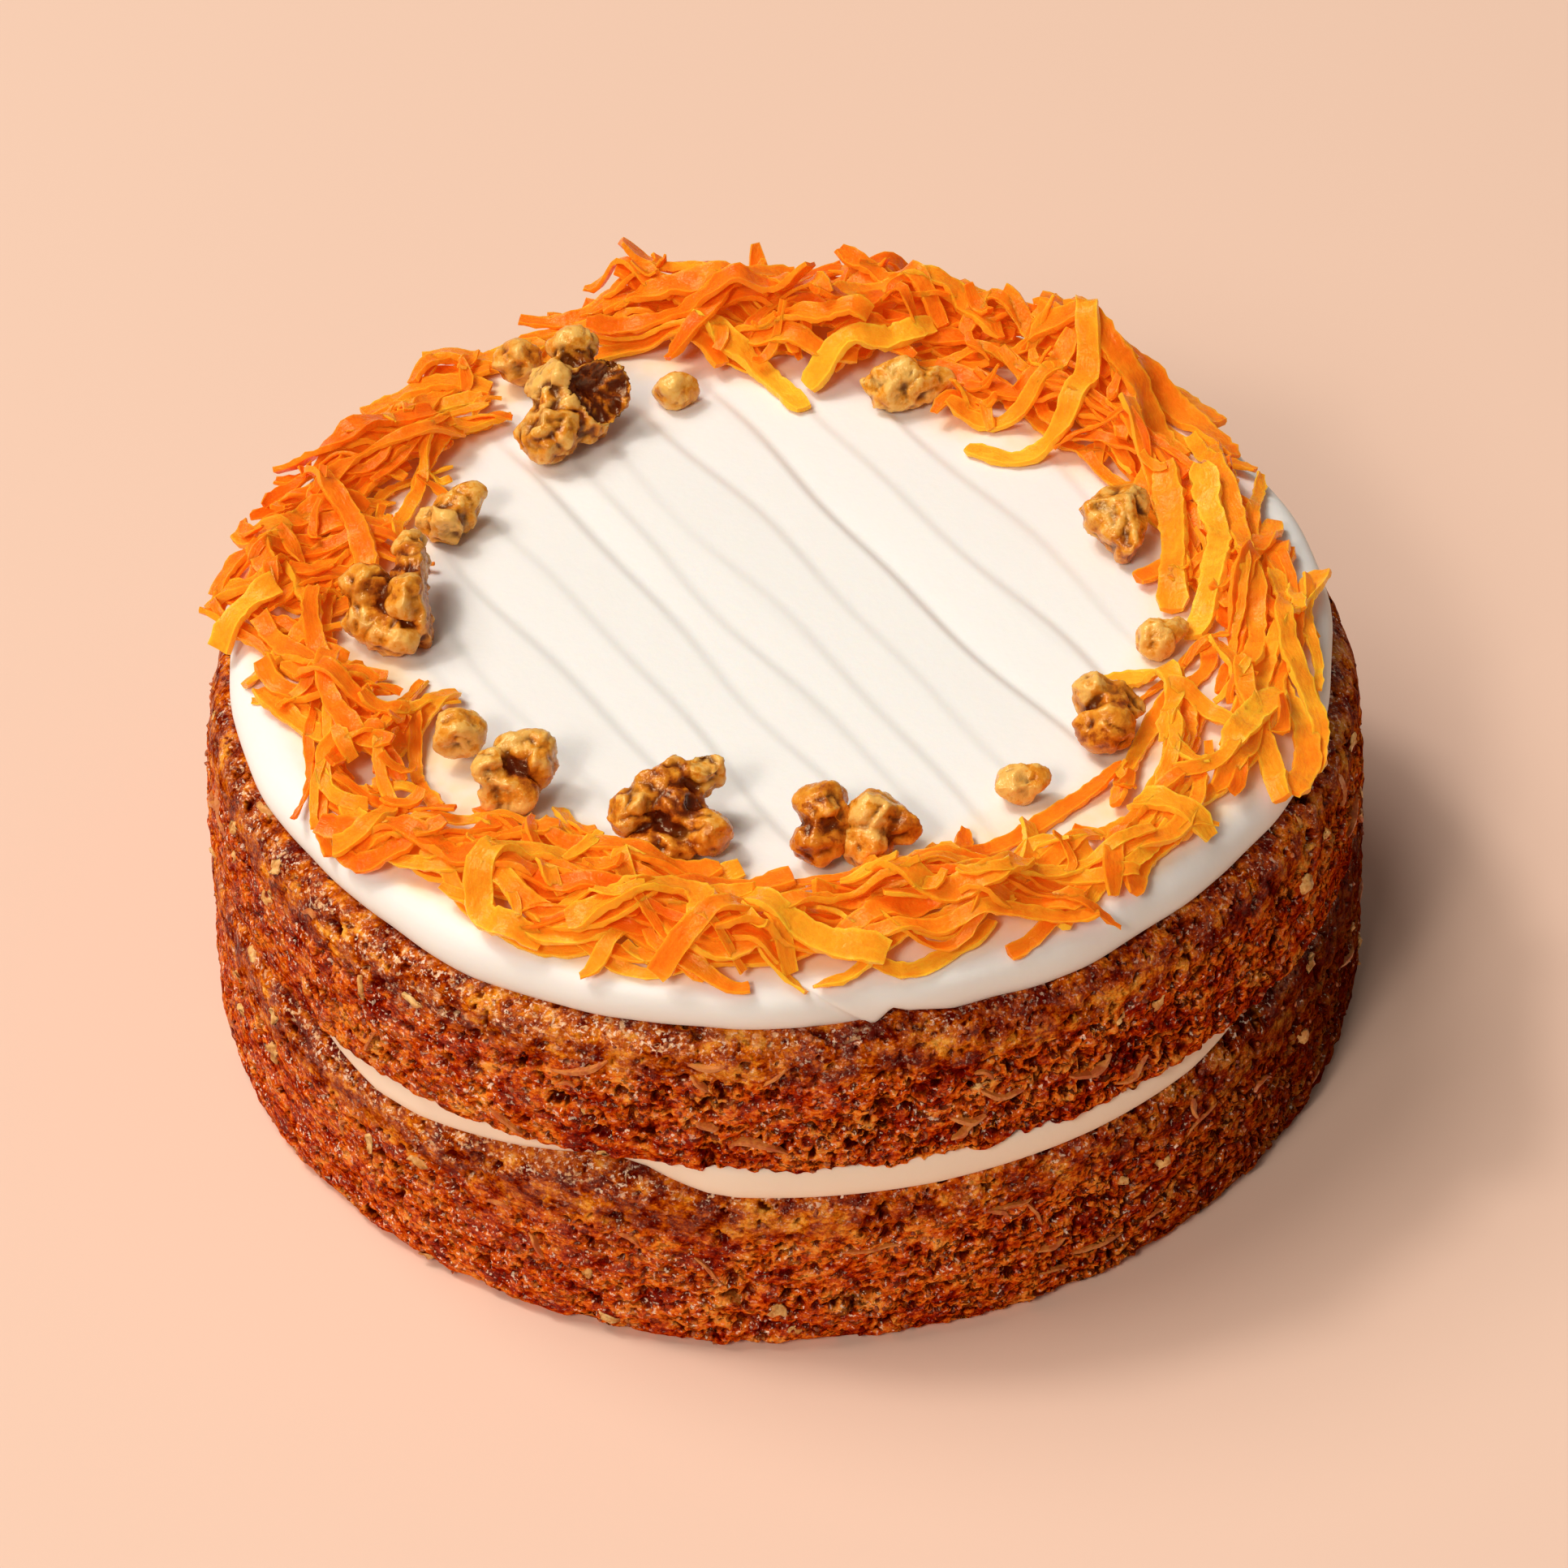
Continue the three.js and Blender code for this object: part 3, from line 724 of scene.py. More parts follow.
# %% The lower layer
def lower_layer():
    crest = LOWER_CREST
    wall = [
        (97.4, 0), (LOWER_RADIUS, 1.4), (LOWER_RADIUS, 8), (99.2, 15), (98.9, 22), (98.5, 28.4),
        (97.5, crest - 2.6), (94, crest - 0.7), (90, crest - 0.3),
    ]
    rows = layer_rows([(0, 0), (97.4, 0)], wall, [(90, crest - 0.3), (84, crest), (0, crest)], 6)

    def shape(rings, azimuth):
        height = rings[..., 2]
        push_out(rings, sway(azimuth, 0.7) * eased(height, 0.2, 2) * (radius_of(rings) > 90))
        lift = SHOULDER_RISE * (1 - cream_shows(azimuth)) * eased(height, 14, 31)
        rings[..., 2] += lift * (radius_of(rings) > 80)
        return rings

    def layers(rings, azimuth):
        height = rings[..., 2]
        wall = eased(radius_of(rings), 88, 91) * eased(height, -0.1, 1.2)
        band = eased(height, crest - 11, crest - 7) * (0.55 + 0.45 * bump(azimuth, 235, 60))
        wet = band + 0.35 * bump(azimuth, 245, 50) * eased(height, 8, 24)
        torn = (1 - 0.75 * band) * (0.42 + 0.58 * bump(azimuth, 310, 75)) + 0.25 * bump(azimuth, 80, 90)
        return crumb_marks(azimuth, wall, wet, torn, 1)

    return turned_skin("sponge_bottom_crumb", rows, WALL_COLUMNS, shape, layers)


sponges = {"sponge_bottom": lower_layer()}

# %% [markdown]
# The upper layer stands a little further in, and its lower edge is ragged where it was trimmed. It has
# painted shade on the right too, but less than the lower one.

# %% The upper layer
def upper_layer():
    base, top = UPPER_BOTTOM, UPPER_TOP
    wall = [
        (93, base), (95.6, base - 0.5), (98, base), (97.9, base + 7), (97.2, base + 13.5),
        (96.3, base + 20), (95.2, base + 23.4), (92.6, top - 0.8), (88, top - 0.2),
    ]
    rows = layer_rows([(0, base), (93, base)], wall, [(88, top - 0.2), (0, top)], 5)

    def shape(rings, azimuth):
        grip = radius_of(rings) > 90
        push_out(rings, sway(azimuth, 2.1) * grip)
        edge = (1 - eased(rings[..., 2], base + 0.5, base + 5)) * grip
        rings[..., 2] += edge * (ragged(azimuth, 31, 0.7, (50, 110, 190)) - 0.3)
        return rings

    def layers(rings, azimuth):
        height = rings[..., 2]
        wall = eased(radius_of(rings), 87, 91) * eased(height, base - 1.5, base + 1)
        band = eased(height, top - 10, top - 6.5) * (0.75 + 0.25 * bump(azimuth, 250, 80))
        wet = band + 0.25 * bump(azimuth, 215, 60)
        torn = (1 - 0.8 * band) * (0.5 + 0.5 * bump(azimuth, 305, 80)) + 0.2 * bump(azimuth, 80, 90)
        return crumb_marks(azimuth, wall, wet, torn, 0.35)

    return turned_skin("sponge_top_crumb", rows, WALL_COLUMNS, shape, layers)


sponges["sponge_top"] = upper_layer()

# %% [markdown]
# Now the tree carves both walls. Its four inputs are the same for both, so the crumb matches, and the
# marks on the points decide where it is open and where it is nearly smooth.

# %% Carving the crumb
for layer in sponges.values():
    grow(
        layer, open_crumb, pit_size=0.0028, pit_depth=0.0022, crag_height=0.0026,
        material=spiced_sponge,
    )
    heights = [point.co.z / MM for point in layer.data.vertices]
    print(layer.name, "from", round(min(heights), 2), "to", round(max(heights), 2), "mm")

# %% [markdown]
# ## Cream between the layers
# The filling was squeezed out by the weight above it, and then trimmed. It shows as a pale band on the
# front and left and again at the back, thins to a fold where two strokes of the knife meet, and is
# hidden elsewhere. A ring with one section all round couldn't do that, so one turned skin follows both
# layers: its rim goes in and out with how much of it shows, and its bed with the lower shoulder.

# %% Filling
CREAM_SET_BACK, CREAM_REACH = 90.5, 97.4    # the rim's radius where it is hidden and where it shows most
CREAM_FACE = [                     # its edge in section: the share of the way out, and of the height
    (0, 0.0), (0.55, 0.0), (1, 0.12), (1.06, 0.35), (1.04, 0.65), (0.98, 0.9), (0.5, 1.0), (0, 1.0),
]
CREAM_ROOT = 88                    # radius where that edge starts


def fill():
    top = UPPER_BOTTOM + 0.9
    face = softened(stepped(np.array(CREAM_FACE) * [8, 6], 0.4), 3) / [8, 6]
    flat = np.linspace([-12, 0], [-1, 0], 5)
    rows = np.vstack([flat, face, flat[::-1] + [0, 1]])

    def shape(rings, azimuth):
        across = rows[1:-1, :1] + 0 * azimuth
        share = rows[1:-1, 1:] + 0 * azimuth
        shows = cream_shows(azimuth)
        rim = CREAM_SET_BACK + (CREAM_REACH - CREAM_SET_BACK) * np.sqrt(shows) + 0.25 * sway(azimuth, 1.1)
        radius = CREAM_ROOT + across * np.where(across > 0, rim - CREAM_ROOT, 7)
        bed = LOWER_CREST - 0.3 - 2.3 * eased(radius, 91, 98) + SHOULDER_RISE * (1 - shows)
        height = np.minimum(bed - 0.5 + (top - bed + 0.5) * share, top)
        return np.concatenate([radius[..., None] * ways_out(azimuth), height[..., None]], axis=2)

    def layers(rings, azimuth):
        return {"juice": 0 * rings[..., 0]}

    return turned_skin("filling_cream", rows, 900, shape, layers)


filling = fill()

# %% [markdown]
# ## Frosting
# The frosting was laid on with a palette knife in parallel strokes. Each stroke ends in a low step with
# a crisp upper edge and a slow foot, like tiles that overlap. At the rim the surface rolls over, and at
# the front the last stroke round the side laps over the first one, which leaves a small pointed end.
# Sculpting could do it, but a height written as a function can also be asked for by all that lies on it.

# %% Frosting shape
STROKE_AZIMUTH = 301               # the direction that the knife moved in
STROKES = [                        # distance of each step from the centre line, and its depth
    (-58, 0.30), (-49.5, 0.36), (-39, 0.40), (-28.5, 0.44), (-17, 0.66), (-9, 0.36),
    (-1, 0.38), (9.5, 0.48), (21, 0.90), (34, 0.66), (45, 0.46), (60, 0.36),
]
STROKE_DEPTH = 1.65                # what every depth above is multiplied by
STROKE_FIELD = 72                  # radius within which the strokes show
ICED_FLAT = 84                     # radius at which the top starts to roll over
ICED_RIM = [(ICED_FLAT, 0), (88, -0.55), (90, -1.5), (91.6, -3.2), (92.3, -5.4)]


def stroke_height(x, y):
    """Height of the knife's steps at a place on the top, which is negative."""
    turn = math.radians(STROKE_AZIMUTH)
    along = x * math.cos(turn) + y * math.sin(turn)
    across = -x * math.sin(turn) + y * math.cos(turn)
    total = np.zeros_like(x)
    for i, (place, depth) in enumerate(STROKES):
        width = STROKES[i + 1][0] - place if i + 1 < len(STROKES) else 12
        bend = 0.9 * np.sin(along / 17 + 1.7 * i) + 0.5 * np.sin(along / 8.3 + 2.9 * i)
        past = across + bend * min(1, width / 9) - place
        strength = STROKE_DEPTH * depth * (0.85 + 0.3 * np.sin(along / 29 + 4.1 * i))
        total -= strength * eased(past, -0.6, 2.0) * (1 - np.clip(past / width, 0, 1) ** 0.7)
    fade = 1 - eased(np.hypot(x, y), STROKE_FIELD - 16, STROKE_FIELD + 4)
    return total * fade


def iced_height(x, y):
    """Height of the frosting's top at a place, for what lies on it."""
    marks, falls = np.array([(0, 0), *ICED_RIM, (93, -9)], float).T
    roll = np.interp(np.hypot(x, y), marks, falls)
    return ICED_TOP + roll + stroke_height(np.asarray(x, float), np.asarray(y, float))


grid = np.mgrid[-60:60, -60:60].astype(float)
print("deepest step, mm:", round(-float(stroke_height(*grid).min()), 2))

# %% [markdown]
# The ring of carrot has bays and lobes, which the construction model sets. Two rows of radii, one every
# fifteen degrees, are enough to say where it lies. The frosting needs them already here, because juice
# from the carrot stains it, and the warm light that the carrot bounces onto it is painted with the stain.

# %% Where the ring lies
RING_IN = [64, 65, 66, 61, 58, 69, 66, 71, 78, 73, 67, 64, 68, 63, 60, 63, 64, 68, 68, 65, 64, 68, 66, 63]
RING_OUT = [88, 84, 85, 89, 91, 92, 92, 92, 91, 91, 91, 92, 91, 86, 87, 90, 91, 92, 89, 90, 90, 89, 90, 92]


def around(azimuth, readings):
    """A value read every 15 degrees, interpolated round the ring."""
    marks = np.arange(len(readings) + 1) * 360 / len(readings)
    return np.interp(np.asarray(azimuth) % 360, marks, [*readings, readings[0]])


def ring_middle(azimuth):
    return (around(azimuth, RING_IN) + around(azimuth, RING_OUT)) / 2


def ring_half(azimuth):
    return (around(azimuth, RING_OUT) - around(azimuth, RING_IN)) / 2


print("the ring is", min(RING_IN), "to", max(RING_OUT), "mm from the axis")

# %% [markdown]
# The top is built of rings with six more points each, so the mesh is equally fine everywhere and has no
# crowded centre, as a turned disc would. A grid would be as even, but it would end in steps at the rim.

# %% A disc of even triangles
def fan_rings(count, step):
    """Points of a disc whose ring k holds 6k points, and the triangles between the rings."""
    points = [np.zeros((1, 2))]
    faces = []
    for ring in range(1, count + 1):
        turn = 2 * np.pi * np.arange(6 * ring) / (6 * ring)
        points.append(step * ring * np.stack([np.cos(turn), np.sin(turn)], axis=1))
        outer, inner = 3 * ring * (ring - 1) + 1, 3 * (ring - 1) * (ring - 2) + 1
        for sector in range(6):
            out = outer + (sector * ring + np.arange(ring + 1)) % (6 * ring)
            if ring == 1:
                faces.append(np.stack([[0], out[:1], out[1:]], axis=1))
                continue
            within = inner + (sector * (ring - 1) + np.arange(ring)) % (6 * (ring - 1))
            faces.append(np.stack([within, out[:-1], out[1:]], axis=1))
            faces.append(np.stack([within[:-1], out[1:-1], within[1:]], axis=1))
    return np.vstack(points), np.vstack(faces)


# %% [markdown]
# The side goes on from the last ring of the top, rolls under and closes on the axis below. Its lower
# edge sinks and rises with the table `LAP`, which jumps where the last stroke ends, and the wall below
# that stroke stands back, so that the lap has a shadow.

# %% Side of the frosting
ICED_STEP = 0.62
ICED_UNDER = -8.9                  # height of the frosting's underside, from its top
LAP = [                            # azimuth, and how far the lower edge is lifted there
    (222, 0.0), (238, -0.9), (262, -0.7), (272.6, -0.6), (278.2, -1.9), (279.9, 2.2), (281.6, 0.6),
    (286, -0.8), (300, -0.8), (312, 0.0),
]
SIDE_BULGES = [(20, 40, 0.7), (75, 30, -0.6), (140, 40, 0.5), (250, 45, 1.3), (292, 18, 1.0)]


def iced_side(columns):
    """Rings of points down the frosting's side and along its underside."""
    side = [*ICED_RIM, (92, -7.4), (91.2, -8.6), (89, ICED_UNDER)]
    rows = softened(stepped(side, ICED_STEP), 8)[1:]
    under = stepped([(89, ICED_UNDER), (2, ICED_UNDER)], FLAT_STEP)[1:]
    rings, azimuth = turned_points(np.vstack([rows, under]), columns)
    turns = np.radians(azimuth)
    down = np.concatenate([np.linspace(0, 1, len(rows)), np.ones(len(under))])[:, None]
    bulge = bumps(azimuth, SIDE_BULGES) + 0.22 * np.sin(turns * 11) + 0.16 * np.sin(turns * 23 + 1)
    swell = 0.22 * np.sin(turns * 5 + 6 * down)
    marks, lifts = np.array(LAP, float).T
    lap = np.interp(azimuth, marks, lifts) + ragged(azimuth, 7, 0.18, (14, 40))
    below = down - 0.20 - 0.62 * eased(azimuth, 268, 279.9)
    near_lap = eased(azimuth, 262, 276) * (azimuth < 280.2)
    ledge = near_lap * eased(below, 0, 0.05) * np.exp(-below / 0.2)
    push = (bulge + swell) * eased(down, 0.05, 0.5) - 1.3 * ledge * (down < 0.98)
    rings[..., :2] += ways_out(azimuth) * push[..., None]
    rings[..., 2] += ICED_TOP + lap * eased(down, 0.45, 0.97)
    return rings


# %% [markdown]
# Top and side become one skin that shares the points of the rim, so no seam shows there. Each point
# also keeps how near it is to the carrot, for the stain and the painted warm light from the carrot.

# %% Frosting mesh
def juice(points):
    """How near to the carrot the points lie on the top: 1 is under it."""
    radius = np.hypot(points[:, 0], points[:, 1])
    azimuth = np.degrees(np.arctan2(points[:, 1], points[:, 0])) % 360
    middle = ring_middle(azimuth)
    past = np.abs(radius - middle) - ring_half(azimuth)
    near = 1 - eased(past, -3, np.where(radius > middle, 1, 6))
    return near * (points[:, 2] > ICED_TOP - 2)


def ice():
    count = round(ICED_FLAT / ICED_STEP)
    columns = 6 * count
    top, faces = fan_rings(count, ICED_FLAT / count)
    lifted = np.column_stack([top, iced_height(*top.T)])
    rings = iced_side(columns)
    points = np.vstack([lifted, rings.reshape(-1, 3), [0, 0, ICED_TOP + ICED_UNDER]])
    side = woven_faces(len(rings) + 1, columns, len(lifted) - columns)
    faces = faces.tolist() + [[a, d, c, b] for a, b, c, d in side]
    faces += pole_faces(len(points) - 1, len(points) - 1 - columns, columns, False)
    return closed("frosting_top", points, faces, {"juice": juice(points)})


frosting = ice()

# %% [markdown]
# Cream cheese frosting is an off-white with a soft glow under its surface. Juice from the carrot stains
# it a pale orange where the ring lies, and the same colour stands for the warm light that the carrot
# bounces onto it, so this painted glow and the stain follow a value kept on the points. The filling is
# painted warmer, for the warm light that the sponge above and below it and the peach table bounce onto it.

# %% Cream finishes
FRESH_CREAM = (0.88, 0.84, 0.78, 1)
STAINED_AND_GLOWING_CREAM = (0.98, 0.68, 0.30, 1)
# The filling's cream, painted warmer for the light bounced onto it from the sponge and the table.
CREAM_WITH_BOUNCE = (0.97, 0.76, 0.585, 1)


def cream_finish(name, pale, stained_and_glowing, roughness):
    material, shader, place = new_finish(
        name, subsurface_weight=0.3, subsurface_scale=0.0014, subsurface_radius=(1.0, 0.75, 0.5),
    )
    blot = place.noise(0.007, 2).between(0.4, 0.65)
    # Juice stain, and painted warm light bounced from the carrot, in one colour.
    colour = (kept(place, "juice") * (blot * 0.35 + 0.35)).blend(pale, stained_and_glowing)
    grain = place.noise(0.0012, 3)
    lumps = place.noise(0.008, 2)
    drive(
        shader, place, base_color=colour, roughness=roughness + grain * 0.12,
        normal=relief(place, grain * 0.35 + lumps, 0.25, 0.0004),
    )
    return material


frosting.data.materials.append(cream_finish("cream_frosting", FRESH_CREAM, STAINED_AND_GLOWING_CREAM, 0.42))
filling.data.materials.append(cream_finish("cream_filling", CREAM_WITH_BOUNCE, CREAM_WITH_BOUNCE, 0.55))
print("cream finishes:", [piece.data.materials[0].name for piece in (frosting, filling)])

# %% [markdown]
# ## Walnuts
# Broken walnut halves are lumps that have grown together, with winding grooves, a papery brown skin and
# pale faces where they broke. The lobes below follow the construction model's, and lie close enough to
# melt together. Each has a tone: 0 is dark skin and 1 is pale kernel. Sculpting fifteen nuts by hand
# would look as good, but lobes in a table can be read, checked against the model and changed.

# %% Walnut lobes
WALNUTS = {                        # place, then lobes: offset x, y, z, radii x, y, z, tone
    "walnut_back_left": ((-34, 52), [
        (-5.2, -8.3, 5.2, 5.4, 4.8, 5.0, 0.62), (2.7, -2.5, 4.2, 2.8, 4.0, 4.2, 0.25),
        (6.3, 0.1, 8.0, 2.6, 3.5, 5.0, 0.45), (2.3, 1.1, 8.0, 4.4, 4.0, 5.0, 0.1),
        (-0.7, 5.9, 13.0, 4.2, 3.4, 3.4, 0.75), (-5.3, -0.5, 11.0, 5.0, 3.8, 3.8, 0.95),
        (-3.2, -3.6, 7.0, 4.6, 4.4, 4.6, 0.7), (1.6, -5.6, 5.4, 3.6, 3.0, 3.6, 0.6),
    ]),
    "walnut_behind_left": ((-45, 64), [(0.1, 0.4, 5.5, 3.9, 3.6, 3.8, 0.6)]),
    "walnut_back_crumb": ((-17, 59), [(-0.5, -0.3, 3.0, 3.8, 3.4, 3.0, 0.8)]),
    "walnut_back_wedge": ((22, 57), [
        (-0.2, -0.3, 4.2, 5.5, 3.4, 4.6, 0.75), (-4.6, -0.6, 2.4, 4.8, 2.6, 2.4, 0.8),
        (4.8, 0.2, 4.0, 4.4, 3.0, 3.2, 0.6),
    ]),
    "walnut_right_back": ((57, 15), [
        (0.6, 1.6, 6.0, 6.2, 4.6, 5.3, 0.65), (2.9, -3.9, 3.6, 3.8, 3.6, 3.6, 0.4),
        (-3.0, 2.6, 7.0, 3.2, 2.6, 2.8, 0.35), (1.8, -1.4, 4.8, 4.8, 3.8, 4.4, 0.6),
    ]),
    "walnut_right_crumb": ((63, -13), [
        (-1.6, -0.7, 3.0, 3.2, 3.0, 3.0, 0.85), (1.3, 1.1, 3.6, 3.0, 2.6, 2.6, 0.8),
    ]),
    "walnut_right_front": ((52, -34), [
        (-1.9, 1.8, 6.6, 3.2, 3.0, 4.0, 0.85), (2.4, 1.0, 5.4, 4.0, 3.2, 3.6, 0.55),
        (0.0, -3.8, 4.4, 4.7, 3.7, 4.0, 0.35), (0.4, -0.9, 5.0, 3.6, 3.2, 3.8, 0.4),
    ]),
    "walnut_front_crumb": ((38, -49), [
        (-1.1, -0.5, 3.4, 3.3, 3.0, 3.0, 0.85), (1.6, -0.1, 3.8, 2.2, 2.2, 2.2, 0.7),
    ]),
    "walnut_front_dark": ((6, -62), [
        (0.5, 2.2, 7.4, 4.5, 3.9, 4.2, 0.45), (-0.6, -1.5, 4.3, 4.2, 3.4, 4.0, 0.3),
    ]),
    "walnut_front_pale": ((14, -62), [
        (0.0, 1.5, 6.8, 4.2, 3.8, 3.9, 0.8), (-1.2, -1.7, 3.8, 3.6, 3.4, 3.6, 0.7),
        (4.2, 1.0, 5.6, 3.6, 3.0, 3.0, 0.5),
    ]),
    "walnut_front_boot": ((-18, -57), [
        (-6.0, -0.3, 6.0, 3.7, 3.4, 3.9, 0.6), (0.3, 4.7, 9.0, 3.2, 2.8, 3.2, 0.45),
        (5.4, 5.4, 8.8, 2.9, 2.6, 3.9, 0.75), (-2.6, 2.4, 7.4, 3.6, 3.2, 3.4, 0.5),
        (5.4, -3.3, 4.4, 4.3, 3.5, 3.6, 0.6), (-1.4, -5.2, 2.9, 5.6, 3.0, 3.0, 0.4),
        (1.0, 0.2, 5.0, 4.8, 4.2, 4.8, 0.1),
    ]),
    "walnut_front_left": ((-42, -47), [
        (1.1, 3.1, 8.7, 4.6, 3.0, 3.0, 0.85), (-4.3, -0.7, 6.8, 2.8, 2.7, 3.9, 0.85),
        (-1.8, -2.7, 4.0, 4.4, 3.2, 3.4, 0.75), (3.6, 0.8, 6.6, 2.6, 2.4, 3.4, 0.7),
        (-0.1, 0.6, 5.2, 3.8, 3.0, 3.7, 0.2),
    ]),
    "walnut_left_crumbly": ((-52, -37), [(-0.2, 0.3, 6.0, 4.3, 3.5, 3.5, 0.85)]),
    "walnut_left_large": ((-63, -3), [
        (-4.9, 0.3, 8.6, 4.0, 3.7, 4.2, 0.5), (1.8, -3.0, 8.8, 3.8, 3.4, 4.0, 0.7),
        (1.8, 11.0, 8.6, 3.0, 2.8, 3.0, 0.85), (2.6, 4.6, 8.4, 3.2, 5.2, 3.8, 0.45),
        (-5.0, -3.1, 4.5, 4.2, 3.4, 3.4, 0.7), (-1.0, -5.8, 3.4, 4.4, 3.2, 3.4, 0.7),
        (4.0, -3.0, 5.0, 2.8, 3.4, 6.0, 0.45), (-1.4, 0.0, 5.6, 4.0, 4.0, 4.2, 0.15),
        (2.3, 8.2, 7.8, 3.0, 3.2, 3.8, 0.6),
    ]),
    "walnut_left_long": ((-56, 22), [
        (-3.2, -1.5, 4.0, 3.6, 3.2, 3.4, 0.75), (0.0, -2.8, 3.6, 2.8, 2.8, 3.2, 0.75),
        (3.7, 3.6, 4.4, 3.6, 3.0, 3.0, 0.7), (1.2, 1.3, 4.0, 3.8, 3.0, 3.4, 0.75),
    ]),
}
print("walnut pieces:", len(WALNUTS), "with", sum(len(lobes) for _, lobes in WALNUTS.values()), "lobes")

# %% [markdown]
# The grooves are the lines where a smooth noise passes its middle value, which wind and branch like the
# real ones. Cells with raised edges stand for the facets that breaking leaves. Each piece reads both
# noises somewhere else, so that no two are alike.

# %% The walnut's tree
GROOVE_WIDTH = 0.11                # how far from its middle value the noise still makes a groove
LUMP_SIZE, GRAIN_SIZE, CHIP_SIZE = 0.0046, 0.0012, 0.0042
GRAIN_HEIGHT, CHIP_HEIGHT = 0.0008, 0.0018


def wrinkle_tree():
    inputs = {"Groove depth": FLOAT, "Groove size": FLOAT, "Shift": FLOAT, "Material": MATERIAL}
    tree, given = growing_tree("walnut_wrinkles", inputs)
    depth = given["Groove depth"]
    place = Wire(tree).node("GeometryNodeInputPosition")
    normal = place.node("GeometryNodeInputNormal")
    shift = place.node("ShaderNodeCombineXYZ", sockets={0: given["Shift"], 1: given["Shift"] * 0.7})
    spot = place.vector("ADD", shift).wandering(0.006, 0.005)
    smooth = {"Vector": spot, "Scale": 1 / given["Groove size"], "Detail": 1}
    middle = spot.node("ShaderNodeTexNoise", sockets=smooth) - 0.5
    groove = 1 - middle.absolute().between(0.0, GROOVE_WIDTH)
    lumps = (spot.noise(LUMP_SIZE, 2, 0.5) - 0.5) * (depth * 2.2 + 0.0004)
    grain = (spot.noise(GRAIN_SIZE, 3, 0.6) - 0.5) * GRAIN_HEIGHT
    chips = spot.node("ShaderNodeTexVoronoi", sockets={"Vector": spot, "Scale": 1 / CHIP_SIZE}) - 0.4
    height = lumps + grain - groove * depth + chips * CHIP_HEIGHT
    nut = moved(given["Geometry"], normal.scaled(height))
    nut = stored(nut, "groove", groove * (depth * 900).between(0.1, 1))
    nut = stored(nut, "hollow", hollowness(place, normal, 12))
    end_tree(shaded_smooth(nut), given["Material"])
    return tree


walnut_wrinkles = wrinkle_tree()
print("walnut tree:", len(walnut_wrinkles.nodes), "nodes")

# %% [markdown]
# Kernel is a pale amber with a waxy glow, and skin runs from tan to a deep brown. The tone decides
# between them, unevenly, ridges are paler, grooves always keep their dark skin, and hollows are painted
# darker as shade. A white highlight turns grey over such browns, so the mirrored light is tinted like
# the syrup on them.

# %% The walnut's finish
KERNEL_TO_SKIN = [
    (0.0, (0.10, 0.012, 0.001)), (0.2, (0.34, 0.060, 0.003)), (0.4, (0.64, 0.18, 0.008)),
    (0.65, (0.82, 0.31, 0.022)), (0.9, (0.90, 0.49, 0.11)),
]
GROOVE_BROWN = (0.24, 0.040, 0.006, 1)
NUT_HOLLOW_SHADE = (0.10, 0.008, 0.0005, 1)


def walnut_finish():
    material, shader, place = new_finish(
        "toasted_walnut", subsurface_weight=0.3, subsurface_scale=0.0010,
        subsurface_radius=(1.0, 0.6, 0.3), specular_ior_level=0.6, specular_tint=(1.0, 0.74, 0.42, 1),
    )
    spots = place.noise(0.0022, 4, 0.62)
    fine = place.noise(0.0008, 3, 0.6)
    skin = place.noise(0.0040, 4, 0.6).between(0.50, 0.57)
    hollow = kept(place, "hollow").between(-0.1, 0.28)
    ridge = (0 - kept(place, "hollow")).between(-0.05, 0.5)
    uneven = (spots - 0.5) * 1.0 + (fine - 0.5) * 0.3 + ridge * 0.25 - skin * 0.22
    colour = (kept(place, "tone") * 0.8 + uneven + 0.12).ramp(*KERNEL_TO_SKIN)
    colour = (kept(place, "groove") * 0.6).blend(colour, GROOVE_BROWN)
    # Painted shade in the hollows.
    colour = (hollow * 0.9).blend(colour, NUT_HOLLOW_SHADE)
    drive(
        shader, place, base_color=colour, roughness=0.28 - spots * 0.18,
        normal=relief(place, fine * 0.6 + spots * 0.8, 0.6, 0.0004),
    )
    return material


toasted_walnut = walnut_finish()
print("walnut finish:", len(toasted_walnut.node_tree.nodes), "nodes")

# %% [markdown]
# The lobes become one body in two steps: a ball is drawn out to the size of each lobe, and a voxel
# remesh melts all balls that overlap into one closed skin. Metaballs would blend them too, but they
# swell where they meet, and the lobes' sizes would be lost.

# %% Melting the lobes together
NUT_VOXEL = 0.42
LOBE_SWELL = 1.06                  # the remesh takes a little off, so the balls start larger
TONE_SHARPNESS = 9                 # how suddenly the tone changes from lobe to lobe


def nut_lumps(name, lobes):
    """The lobes as one mesh of overlapping balls."""
    mesh = bpy.data.meshes.new(name)
    shape = bmesh.new()
    for lobe in lobes:
        place = Matrix.Translation(Vector(lobe[:3]) * MM)
        size = Matrix.Diagonal((*(LOBE_SWELL * MM * radius for radius in lobe[3:6]), 1))
        bmesh.ops.create_icosphere(shape, subdivisions=3, radius=1, matrix=place @ size)
    shape.to_mesh(mesh)
    shape.free()
    return added(name, mesh)


def melted(piece):
    """The piece's mesh as one closed skin."""
    modifier = piece.modifiers.new("melt", "REMESH")
    modifier.mode = "VOXEL"
    modifier.voxel_size = NUT_VOXEL * MM
    ready = piece.evaluated_get(bpy.context.evaluated_depsgraph_get())
    mesh = bpy.data.meshes.new_from_object(ready)
    piece.modifiers.remove(modifier)
    return with_mesh(piece, mesh)


def points_of(piece):
    points = np.zeros(len(piece.data.vertices) * 3, np.float32)
    piece.data.vertices.foreach_get("co", points)
    return points.reshape(-1, 3) / MM


